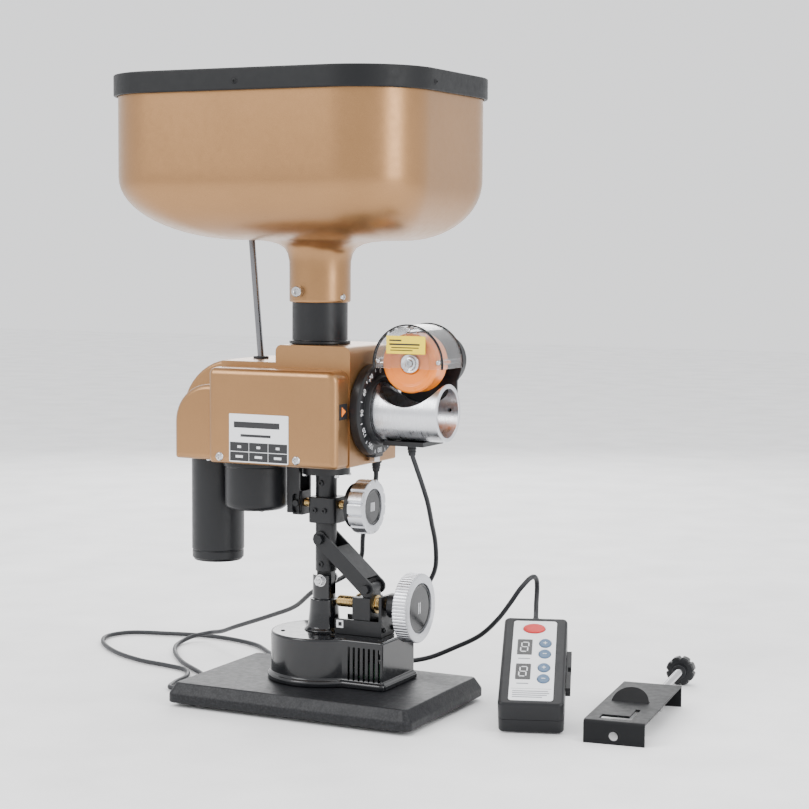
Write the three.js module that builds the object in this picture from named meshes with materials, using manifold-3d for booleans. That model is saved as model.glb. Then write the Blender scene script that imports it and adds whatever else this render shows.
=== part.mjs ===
// A table-tennis ball machine: a hopper feeds balls through a neck into a gold case, and a rubber wheel
// throws them out of a short tube. The head stands on a tilting column that swings on a drum-shaped base.
// A wired controller and a table bracket belong to it. Millimetres, +Z up, balls leave along +X.
// Every measure is taken from the turret's axis, the upright line about which the whole head swings.
import * as THREE from 'three';
import { mergeVertices } from 'three/addons/utils/BufferGeometryUtils.js';
import Module from 'manifold-3d';

const wasm = await Module();
wasm.setup();

// ---------------------------------------------------------------- driving dimensions
const GAP = 0.3;                    // room left between two pieces that touch
const THROUGH = 60;                 // reach of a cut that passes right through a piece
const WALL = 2.5;                   // thickness of the moulded shells

const PLATE = { x0: -114, x1: 132, y0: -91, y1: 68, z0: 4, z1: 22, bevel: 6, bevelDrop: 10, corner: 7 };
const FOOT = { radius: 8, inset: 20, top: PLATE.z0 - GAP };

const DRUM = { radius: 49, bottom: PLATE.z1 + GAP, top: 66, lip: 3, lipTop: 28, tailEnd: 77, tailHalf: 33 };
const SWING_MOTOR = { radius: 20, hole: 12 };
const BEARING = { radius: 11.7, depth: 8 };
const BOARD = { x0: 48, x1: 70, half: 24, z0: 30, z1: 31.6, pillar: 4 };
const RELAYS = [{ x0: 52, x1: 66, y0: -12, y1: 4, z1: 42 }, { x0: 52, x1: 64, y0: 8, y1: 20, z1: 38 }];
const INLET = { half: 12, inward: 6, outward: 9, z0: 34, z1: 52, recess: 8, floor: 2.5, rim: 4 };
const VENT = { count: 7, first: 42, pitch: 5.1, width: 2.2, bottom: 29, top: 59.6 };

const POST = { base: 17, neck: 12.8, shoulder: 95, slot: 100, radius: 10.6, top: 117.5, shaft: 8,
  shaftBottom: 51 };
const LOWER_PIVOT = { x: 2, z: 113 };
const TONGUE = { half: 4, radius: 7.5 };
const SLOT_HALF = TONGUE.half + GAP;
const PIN = { radius: 3, hole: 3.35, end: 13.6 };
const HINGE_BOLT = { half: 11.4, headStart: 11.1, headEnd: 14.4, head: 4.6 };

const COLUMN = { radius: 9.8, bottom: 121, top: 243 };
const LINK_PIVOT = { x: 2, z: 151.5 };
const UPPER_PIVOT = { x: 2, z: 234 };

const TROUGH = { x0: 18.2, x1: 66, half: 13.3, wall: 2, bottom: DRUM.top + GAP, side: 80, end: 103 };
const SCREW = { z: 94, radius: 5.5, start: 15.5 };
const NUT = { x0: 36, x1: 54, half: 13, bottom: 80.6, top: 100.8, shoe: 69, ear: 9.5, earRadius: 5 };
const LINK = { round: 7, inner: 10.4, outer: 12.9, webStart: 19, webEnd: 9, webLow: 4.4 };
const NUT_PIVOT = { x: 50, z: 109 };
const HEIGHT_KNOB = { x0: 85, x1: 99, radius: 31.5, hubStart: 69, hub: 11, bite: 4 };

const COLLAR = { x0: -11, x1: 17, half: 13, z0: 166, z1: 190, corner: 5 };
const TILT_SCREW = { z: 183, radius: 4, start: -30, end: 42 };
const TILT_NUT = { x0: -29, x1: -19, half: 8, z0: 172, z1: 194, pinEnd: 12.4 };
const TILT_LUG = { x0: -33, x1: -20.4, outer: 11.6, inner: 8.9, bottom: 174, plate: 4, slotX: -24,
  slotHalf: 9 };
const TILT_KNOB = { x0: 36, x1: 51, radius: 25, lobes: 12, disc: 29, discRadius: 20, flute: 3.4,
  fluteDepth: 2 };

const CASE = { bottom: 222, back: 57, side: 46, tallLeft: -30, tallTop: 330, frontPlane: -38, flatTop: 314,
  left: -142, arc: 55, arcFront: -20 };
const FRONT = { x0: -87, x1: 45, y: -63, top: 309, corner: 9 };
const GEAR_COVER = { x0: -134.5, y: -45, top: 292, arc: 36 };
const FLANGE = { x: 2, radius: 22, hole: 15, z0: 211 };
const EAR = { x0: -6, x1: 10, inner: 10.3, outer: 13.9, rise: 22, pinEnd: 15 };
const CASE_HOLES = { joint: 19, rod: 6 };
const PUSHER = { x0: -72, x1: -34, radius: 16, bore: 13.5, floor: 4 };

const TUBE = { z: 271.5, outer: 26, bore: 22, x0: 44, x1: 125 };
const WHEEL = { x: 92, z: 315.5, radius: 27, y0: -12, y1: 11, hub: 9.2, recess: 1.2, proud: 0.6 };
const SADDLE = { x: 91, z: 314, radius: 37 };
const DIAL_STOP = { x: 51.5, z0: 224.5, z1: 240, radius: 5 };
const DIAL = { radius: 41.4, x0: 46.5, x1: 57, collar: 31, collarEnd: 61.5 };
const COVER = { radius: 34, y0: -16, y1: 27.6, wall: 1.8, bottom: 311 };
const THROW_MOTOR = { radius: 24, y0: 31, y1: 63, shaft: 4, shaftStart: 13.4 };
const BRACKET = { y0: 27.9, y1: 30.7, x0: 64, x1: 120, z0: 241, foot: -12, footX: 66, stepX: 106, stepZ: 262,
  shaftHole: 5 };

const NECK = { x: -5, outer: 25.4, bore: 22.6, bottom: 296, top: 394, lip: 28, lipTop: 333 };
const HOPPER = { x: -24.6, halfX: 152.8, halfY: 113.8, top: 568, shoulder: 480, bottom: 424, corner: 64,
  wall: 2.4, neckX: -5, bottomHalfX: 76, bottomHalfY: 45, bottomCorner: 42, socket: 28, socketBottom: 368 };
const SOCKET_FLARE = [[0, 392], [1.5, 402], [5, 412], [11, 420]];   // [outset from the socket, height]
const MOUTH_FLARE = [[0, 406], [4, 418], [14, 427]];               // [outset from the neck's bore, height]
const ROD_HOLE = { x: -80, radius: 7.5, z0: 420, z1: 432 };
const NECK_SCREW = { x: -11, z: 378, radius: 5, length: 7 };
const RIM_LIP = 2.4;
const RIM = { halfX: 156.8, halfY: 117.8, z0: 552, z1: 571, corner: 68 };
const ROD = { foot: [-69, 5, 300], head: [-83.2, 5, 460], radius: 3 };

const FEED_MOTOR = { x: -118, y: 6, radius: 24.8, bottom: 122, top: CASE.bottom - GAP };
const GEARBOX = { x: -65.5, y: -12, radius: 29, bottom: 176 };

const CONTROLLER = { x: 193, y: -40, yaw: 20, tilt: 27, width: 57, length: 121, height: 32.4, split: 15,
  rest: 0.35, corner: 5 };
const PANEL = { x0: 8.6, x1: 47.8, y0: 5, y1: 115.5, corner: 3, sink: 0.9, proud: 0.3 };
const BUTTON = { x: 38.1, rows: [83.3, 68.3, 49.4, 34.3], halfX: 5.3, halfY: 5.8 };
const KEY = { x: 27.5, y: 103.7, halfX: 9.8, halfY: 6.3 };
const PRESS = { gap: 0.4, root: 6, hole: 9, proud: 1.5 };       // of every button and the key
const STAND = { x0: 10, x1: 46, y0: 20, y1: 74, plate: 2, leg: 36.2, legThickness: 2.5 };
const CLIP = { thickness: 4.4, y0: 31, y1: 82, z0: 16.5, z1: 25.5, notch: 3, floor: 1.6 };
const GLAND = { x: 27.5, z: 22, length: 11, tip: 3, base: 4.4, solid: 5 };
const TABLE_BRACKET = { x: 270, y: -36, yaw: 6.8, width: 53, length: 157, height: 20, sheet: 2 };
const BRACKET_HOLE = { x: 26, z: 7, radius: 4 };
const BRACKET_SLOT = { x0: 11, x1: 39, y0: 10, y1: 23.5, legX: 34.6, legEnd: 49 };
const TONGUE_FLAP = { x: 23.5, y: 74, radius: 16.5, rise: 42, gap: 0.8 };
const CLAMP = { x: 34.5, z: 13.8, radius: 3.5, start: 118, end: 246, knob: 13.6, lobes: 8, lobe: 4.2,
  slack: 0.5, thick: 12, grip: 6 };
const PAD = { half: 9, back: 4, front: 3, z0: 4, z1: 17.5 };

const LEAD = { radius: 2.25, sides: 8 };

// ---------------------------------------------------------------- finishes
const finish = (color, roughness, metalness = 0) => ({ color, roughness, metalness });
const GOLD = finish(0xb98f62, 0.38, 0.55);
const BLACK_PLASTIC = finish(0x0d0e11, 0.45);
const BLACK_GLOSS = finish(0x0a0b0e, 0.2);
const BLACK_METAL = finish(0x101114, 0.5, 0.3);
const ALUMINIUM = finish(0xc9ccd1, 0.32, 1);
const STEEL = finish(0x9fa1a4, 0.25, 1);
const BRASS = finish(0xa98c4c, 0.35, 1);
const ORANGE = finish(0xf07d12, 0.4);
const CLEAR = finish(0xd8dde0, 0.08);
const RUBBER = finish(0x15161a, 0.7);
const WHITE = finish(0xeef0f2, 0.5);
const BLUE_GREY = finish(0x52657c, 0.5);
const RED = finish(0xc3272b, 0.45);
const GREEN_BOARD = finish(0x1f5b34, 0.6);

// ---------------------------------------------------------------- solids
const radians = THREE.MathUtils.degToRad;

// A closed three.js geometry as a solid that can be cut and joined.
function solid(geometry) {
  const bare = geometry.clone();
  bare.deleteAttribute('normal');
  bare.deleteAttribute('uv');
  const merged = mergeVertices(bare, 1e-4);
  return new wasm.Manifold(new wasm.Mesh({
    numProp: 3,
    vertProperties: new Float32Array(merged.attributes.position.array),
    triVerts: new Uint32Array(merged.index.array),
  }));
}

// The solid back as a geometry with flat faces.
function geometryOf(shape) {
  const mesh = shape.getMesh();
  const geometry = new THREE.BufferGeometry();
  geometry.setAttribute('position', new THREE.BufferAttribute(new Float32Array(mesh.vertProperties), 3));
  geometry.setIndex(new THREE.BufferAttribute(new Uint32Array(mesh.triVerts), 1));
  return geometry;
}

function block(x0, x1, y0, y1, z0, z1) {
  const geometry = new THREE.BoxGeometry(x1 - x0, y1 - y0, z1 - z0);
  return solid(geometry.translate((x0 + x1) / 2, (y0 + y1) / 2, (z0 + z1) / 2));
}

// A three.js geometry made round its own Y axis, laid along another axis.
function along(axis, geometry) {
  if (axis === 'x') geometry.rotateZ(-Math.PI / 2);
  if (axis === 'z') geometry.rotateX(Math.PI / 2);
  return geometry;
}

// A round bar from a to b along an axis; u and v are its place across that axis.
function bar(axis, a, b, u, v, radius, sides = 24) {
  const geometry = along(axis, new THREE.CylinderGeometry(radius, radius, b - a, sides));
  const middle = (a + b) / 2;
  if (axis === 'x') geometry.translate(middle, u, v);
  if (axis === 'y') geometry.translate(u, middle, v);
  if (axis === 'z') geometry.translate(u, v, middle);
  return solid(geometry);
}

// A turned piece about Z through (x, y): points are [radius, z] from the axis round and back to it.
function turned(points, x, y, sides = 32) {
  const geometry = new THREE.LatheGeometry(points.map(([r, z]) => new THREE.Vector2(r, z)), sides);
  return solid(geometry.rotateX(Math.PI / 2).translate(x, y, 0));
}

// An outline in X and Z pushed along Y from y0 to y1.
function pushedY(shape, y0, y1, curveSegments = 4) {
  const geometry = new THREE.ExtrudeGeometry(shape, { depth: y1 - y0, bevelEnabled: false, curveSegments });
  return solid(geometry.rotateX(Math.PI / 2).translate(0, y1, 0));
}

// An outline in X and Y pushed along Z from z0 to z1.
function pushedZ(shape, z0, z1, curveSegments = 3) {
  const geometry = new THREE.ExtrudeGeometry(shape, { depth: z1 - z0, bevelEnabled: false, curveSegments });
  return solid(geometry.translate(0, 0, z0));
}

// A rectangle from (u0, v0) to (u1, v1) with a radius at each corner: [lower left, lower right, upper
// right, upper left].
function outline(u0, u1, v0, v1, corners) {
  const [a, b, c, d] = typeof corners === 'number' ? Array(4).fill(corners) : corners;
  const shape = new THREE.Shape();
  shape.moveTo(u0 + a, v0);
  shape.lineTo(u1 - b, v0);
  if (b) shape.absarc(u1 - b, v0 + b, b, -Math.PI / 2, 0);
  shape.lineTo(u1, v1 - c);
  if (c) shape.absarc(u1 - c, v1 - c, c, 0, Math.PI / 2);
  shape.lineTo(u0 + d, v1);
  if (d) shape.absarc(u0 + d, v1 - d, d, Math.PI / 2, Math.PI);
  shape.lineTo(u0, v0 + a);
  if (a) shape.absarc(u0 + a, v0 + a, a, Math.PI, 1.5 * Math.PI);
  return shape;
}

// A ring of points round a rectangle with rounded corners, at height z.
function roundedRing(x, halfX, halfY, corner, z, steps = 5) {
  const ring = [];
  const centres = [[1, 1, 0], [-1, 1, 90], [-1, -1, 180], [1, -1, 270]];
  for (const [sx, sy, start] of centres) {
    for (let i = 0; i <= steps; i++) {
      const angle = radians(start + 90 * i / steps);
      const cx = x + sx * (halfX - corner);
      const cy = sy * (halfY - corner);
      ring.push(new THREE.Vector3(cx + corner * Math.cos(angle), cy + corner * Math.sin(angle), z));
    }
  }
  return ring;
}

// A closed solid through rings of equal length, listed from the lowest to the highest.
function loft(rings) {
  const count = rings[0].length;
  const points = rings.flat();
  const faces = [];
  for (let level = 0; level + 1 < rings.length; level++) {
    for (let i = 0; i < count; i++) {
      const a = level * count + i;
      const b = level * count + (i + 1) % count;
      faces.push(a, b, b + count, a, b + count, a + count);
    }
  }
  const last = (rings.length - 1) * count;
  for (let i = 1; i + 1 < count; i++) {
    faces.push(0, i + 1, i);
    faces.push(last, last + i, last + i + 1);
  }
  const geometry = new THREE.BufferGeometry().setFromPoints(points);
  geometry.setIndex(faces);
  return solid(geometry);
}

// A round lead through its points.
function lead(points, steps) {
  const path = new THREE.CatmullRomCurve3(points.map(([x, y, z]) => new THREE.Vector3(x, y, z)));
  const section = new THREE.Shape();
  for (let i = 0; i < LEAD.sides; i++) {
    const angle = 2 * Math.PI * i / LEAD.sides;
    const [u, v] = [LEAD.radius * Math.cos(angle), LEAD.radius * Math.sin(angle)];
    if (i === 0) section.moveTo(u, v);
    else section.lineTo(u, v);
  }
  section.closePath();
  return new THREE.ExtrudeGeometry(section, { steps, extrudePath: path, bevelEnabled: false });
}

const assembly = new THREE.Group();

function add(name, shape, look, parent = assembly) {
  const geometry = shape.isBufferGeometry ? shape : geometryOf(shape);
  const mesh = new THREE.Mesh(geometry, new THREE.MeshStandardMaterial(look));
  mesh.name = name;
  parent.add(mesh);
}

// ---------------------------------------------------------------- base
function basePlate() {
  const ring = (inset, z) => {
    const halfX = (PLATE.x1 - PLATE.x0) / 2 - inset;
    const halfY = (PLATE.y1 - PLATE.y0) / 2 - inset;
    const points = roundedRing((PLATE.x0 + PLATE.x1) / 2, halfX, halfY, PLATE.corner - inset / 2, z, 3);
    return points.map((p) => p.setY(p.y + (PLATE.y0 + PLATE.y1) / 2));
  };
  add('base_plate', loft([ring(0, PLATE.z0), ring(0, PLATE.z1 - PLATE.bevelDrop), ring(PLATE.bevel, PLATE.z1)]),
    BLACK_PLASTIC);
  const places = [[PLATE.x0, PLATE.y0, 1, 1], [PLATE.x1, PLATE.y0, -1, 1],
    [PLATE.x1, PLATE.y1, -1, -1], [PLATE.x0, PLATE.y1, 1, -1]];
  places.forEach(([x, y, sx, sy], i) => {
    const foot = bar('z', 0, FOOT.top, x + sx * FOOT.inset, y + sy * FOOT.inset, FOOT.radius, 20);
    add(`foot_${i + 1}`, foot, RUBBER);
  });
}

function drumBody(grow, z0, z1) {
  const round = bar('z', z0, z1, 0, 0, DRUM.radius + grow, 40);
  return round.add(block(0, DRUM.tailEnd + grow, -DRUM.tailHalf - grow, DRUM.tailHalf + grow, z0, z1));
}

function base() {
  basePlate();
  let housing = drumBody(0, DRUM.bottom, DRUM.top).add(drumBody(DRUM.lip, DRUM.bottom, DRUM.lipTop));
  housing = housing.subtract(drumBody(-WALL, DRUM.bottom - 1, DRUM.top - WALL));
  housing = housing.subtract(bar('z', DRUM.bottom, DRUM.top + 1, 0, 0, SWING_MOTOR.hole, 24));
  for (let i = 0; i < VENT.count; i++) {
    const x = VENT.first + i * VENT.pitch;
    housing = housing.subtract(block(x, x + VENT.width, -THROUGH, THROUGH, VENT.bottom, VENT.top));
  }
  add('drum_housing', housing, BLACK_GLOSS);
  add('swing_motor', bar('z', DRUM.bottom, POST.shaftBottom - GAP, 0, 0, SWING_MOTOR.radius, 24), STEEL);
  const ring = bar('z', DRUM.top - BEARING.depth, DRUM.top, 0, 0, BEARING.radius, 24);
  add('turret_bearing', ring.subtract(bar('z', 0, DRUM.top + 1, 0, 0, POST.shaft + GAP, 24)), BRASS);
  let board = block(BOARD.x0, BOARD.x1, -BOARD.half, BOARD.half, BOARD.z0, BOARD.z1);
  for (const { x0, x1, y0, y1, z1 } of RELAYS) board = board.add(block(x0, x1, y0, y1, BOARD.z0 + 1, z1));
  for (const y of [1 - BOARD.half, BOARD.half - 1 - BOARD.pillar]) {
    const x = BOARD.x0 + 1;
    board = board.add(block(x, x + BOARD.pillar, y, y + BOARD.pillar, DRUM.bottom, BOARD.z0 + 0.5));
  }
  add('control_board', board, GREEN_BOARD);
  const socket = block(-INLET.half, INLET.half, DRUM.radius - INLET.inward, DRUM.radius + INLET.outward,
    INLET.z0, INLET.z1);
  const hole = bar('z', 0, DRUM.top, 0, 0, DRUM.radius + GAP, 40);
  const recess = block(-INLET.recess, INLET.recess, DRUM.radius + INLET.floor, THROUGH, INLET.z0 + INLET.rim,
    INLET.z1 - INLET.rim);
  add('power_inlet', socket.subtract(hole).subtract(recess), BLACK_PLASTIC);
}

// ---------------------------------------------------------------- turret, column and height screw
function turret() {
  let post = turned([[0, POST.shaftBottom], [POST.shaft, POST.shaftBottom], [POST.shaft, DRUM.top + GAP],
    [POST.base, DRUM.top + GAP], [POST.neck + 1, POST.shoulder - 7], [POST.neck, POST.shoulder],
    [POST.radius, POST.shoulder],
    [POST.radius, POST.top - 1.5], [POST.radius - 1.5, POST.top], [0, POST.top]], 0, 0, 28);
  post = post.subtract(block(-THROUGH, THROUGH, -SLOT_HALF, SLOT_HALF, POST.slot, POST.top + 1));
  post = post.subtract(bar('y', -THROUGH, THROUGH, LOWER_PIVOT.x, LOWER_PIVOT.z, PIN.hole, 16));
  add('turret_post', post, BLACK_GLOSS);
  const { half: grip, headStart, headEnd, head: size } = HINGE_BOLT;
  const pin = bar('y', -grip, grip, LOWER_PIVOT.x, LOWER_PIVOT.z, PIN.radius, 16);
  const heads = bar('y', -headEnd, -headStart, LOWER_PIVOT.x, LOWER_PIVOT.z, size, 6);
  const nut = bar('y', headStart, headEnd, LOWER_PIVOT.x, LOWER_PIVOT.z, size, 6);
  add('column_hinge_bolt', pin.add(heads).add(nut), STEEL);
  const half = TROUGH.half;
  let trough = block(TROUGH.x0, TROUGH.x1, -half, half, TROUGH.bottom, TROUGH.side);
  trough = trough.add(block(TROUGH.x1 - 3, TROUGH.x1, -half, half, TROUGH.bottom, TROUGH.end));
  trough = trough.subtract(block(0, TROUGH.x1 - 3, TROUGH.wall - half, half - TROUGH.wall, TROUGH.bottom + 2,
    TROUGH.end + 1));
  const screwHole = bar('x', TROUGH.x1 - 10, TROUGH.x1 + 10, 0, SCREW.z, SCREW.radius + GAP, 20);
  add('screw_trough', trough.subtract(screwHole), BLACK_METAL);
}

function fluted(axisX0, axisX1, z, radius, count, depth, width) {
  let knob = bar('x', axisX0, axisX1, 0, z, radius, 36);
  for (let i = 0; i < count; i++) {
    const angle = 2 * Math.PI * (i + 0.5) / count;
    const place = radius + width - depth;
    const [y, up] = [place * Math.cos(angle), z + place * Math.sin(angle)];
    knob = knob.subtract(bar('x', axisX0 - 1, axisX1 + 1, y, up, width, 6));
  }
  return knob;
}

function heightScrew() {
  const screw = bar('x', SCREW.start, HEIGHT_KNOB.x0 + HEIGHT_KNOB.bite, 0, SCREW.z, SCREW.radius, 20);
  add('height_screw', screw, BRASS);
  let knob = bar('x', HEIGHT_KNOB.x0, HEIGHT_KNOB.x1, 0, SCREW.z, HEIGHT_KNOB.radius, 40);
  knob = knob.add(bar('x', HEIGHT_KNOB.hubStart, HEIGHT_KNOB.x0 + 1, 0, SCREW.z, HEIGHT_KNOB.hub, 24));
  const boreEnd = HEIGHT_KNOB.x0 + HEIGHT_KNOB.bite + GAP;
  knob = knob.subtract(bar('x', HEIGHT_KNOB.hubStart - 1, boreEnd, 0, SCREW.z, SCREW.radius + GAP, 20));
  add('height_knob', knob, ALUMINIUM);
  let nut = block(NUT.x0, NUT.x1, -NUT.half, NUT.half, NUT.bottom, NUT.top);
  nut = nut.add(block(NUT.x0 + 2, NUT.x1 - 2, -TROUGH.half + 2.5, TROUGH.half - 2.5, NUT.shoe, NUT.bottom + 1));
  nut = nut.subtract(bar('x', 0, HEIGHT_KNOB.x0, 0, SCREW.z, SCREW.radius + GAP, 20));
  nut = nut.add(block(NUT_PIVOT.x - 5, NUT.x1, -NUT.ear, NUT.ear, NUT.top - 1, NUT_PIVOT.z));
  nut = nut.add(bar('y', -NUT.ear, NUT.ear, NUT_PIVOT.x, NUT_PIVOT.z, NUT.earRadius, 16));
  nut = nut.add(bar('y', -PIN.end, PIN.end, NUT_PIVOT.x, NUT_PIVOT.z, PIN.radius, 16));
  add('height_nut', nut, BLACK_METAL);
}

function link() {
  const dx = NUT_PIVOT.x - LINK_PIVOT.x;
  const dz = NUT_PIVOT.z - LINK_PIVOT.z;
  const length = Math.hypot(dx, dz);
  const { round, inner, outer } = LINK;
  const side = outline(-round, length + round, -round, round, round);
  let channel = pushedY(side, -outer, -inner).add(pushedY(side, inner, outer));
  channel = channel.add(block(LINK.webStart, length - LINK.webEnd, -outer, outer, LINK.webLow, round));
  channel = channel.subtract(bar('y', -THROUGH, THROUGH, 0, 0, PIN.hole, 16));
  channel = channel.subtract(bar('y', -THROUGH, THROUGH, length, 0, PIN.radius + 1, 16));
  const geometry = geometryOf(channel);
  geometry.rotateY(Math.atan2(-dz, dx)).translate(LINK_PIVOT.x, 0, LINK_PIVOT.z);
  add('lift_link', geometry, BLACK_METAL);
}

function column() {
  let tube = bar('z', COLUMN.bottom, COLUMN.top, LOWER_PIVOT.x, 0, COLUMN.radius, 28);
  const reach = LOWER_PIVOT.z;
  tube = tube.add(block(LOWER_PIVOT.x - TONGUE.radius, LOWER_PIVOT.x + TONGUE.radius, -TONGUE.half, TONGUE.half, reach,
    COLUMN.bottom + 1));
  tube = tube.add(bar('y', -TONGUE.half, TONGUE.half, LOWER_PIVOT.x, reach, TONGUE.radius, 24));
  tube = tube.subtract(bar('y', -THROUGH, THROUGH, LOWER_PIVOT.x, reach, PIN.hole, 16));
  tube = tube.subtract(bar('y', -THROUGH, THROUGH, UPPER_PIVOT.x, UPPER_PIVOT.z, PIN.hole, 16));
  tube = tube.subtract(bar('x', -THROUGH, THROUGH, 0, TILT_SCREW.z, TILT_SCREW.radius + GAP, 16));
  tube = tube.add(bar('y', -PIN.end, PIN.end, LINK_PIVOT.x, LINK_PIVOT.z, PIN.radius, 16));
  add('column', tube, BLACK_METAL);
  let collar = pushedZ(outline(COLLAR.x0, COLLAR.x1, -COLLAR.half, COLLAR.half, COLLAR.corner),
    COLLAR.z0, COLLAR.z1, 3);
  collar = collar.subtract(bar('z', 0, COLUMN.top, LOWER_PIVOT.x, 0, COLUMN.radius + GAP, 28));
  collar = collar.subtract(bar('x', -THROUGH, THROUGH, 0, TILT_SCREW.z, TILT_SCREW.radius + GAP, 16));
  add('tilt_collar', collar, BLACK_METAL);
}

function tiltScrew() {
  add('tilt_screw', bar('x', TILT_SCREW.start, TILT_SCREW.end, 0, TILT_SCREW.z, TILT_SCREW.radius, 16), BRASS);
  let knob = fluted(TILT_KNOB.x0, TILT_KNOB.x1, TILT_SCREW.z, TILT_KNOB.radius, TILT_KNOB.lobes,
    TILT_KNOB.fluteDepth, TILT_KNOB.flute);
  knob = knob.add(bar('x', TILT_KNOB.disc, TILT_KNOB.x0 + 1, 0, TILT_SCREW.z, TILT_KNOB.discRadius, 32));
  knob = knob.subtract(bar('x', 0, TILT_SCREW.end + GAP, 0, TILT_SCREW.z, TILT_SCREW.radius + GAP, 16));
  add('tilt_knob', knob, ALUMINIUM);
  let nut = block(TILT_NUT.x0, TILT_NUT.x1, -TILT_NUT.half, TILT_NUT.half, TILT_NUT.z0, TILT_NUT.z1);
  const middle = (TILT_NUT.x0 + TILT_NUT.x1) / 2;
  nut = nut.add(bar('y', -TILT_NUT.pinEnd, TILT_NUT.pinEnd, middle, TILT_SCREW.z, PIN.radius, 16));
  add('tilt_nut', nut.subtract(bar('x', -THROUGH, 0, 0, TILT_SCREW.z, TILT_SCREW.radius + GAP, 16)), BLACK_METAL);
}

// ---------------------------------------------------------------- case
// The case's body, larger or smaller all round by grow, with its front face at the given planes.
function caseBody(grow, front, arcFront) {
  const low = CASE.bottom - grow;
  const tall = block(CASE.tallLeft - grow, CASE.side + grow, front, CASE.back + grow, low, CASE.tallTop + grow);
  const middle = block(FRONT.x0 - grow, CASE.tallLeft + 12, front, CASE.back + grow, low, CASE.flatTop + grow);
  const side = outline(CASE.left - grow, FRONT.x0 + 5, low, CASE.flatTop + grow, [0, 0, 0, CASE.arc + grow]);
  return tall.add(middle).add(pushedY(side, arcFront, CASE.back + grow, 9));
}

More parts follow.
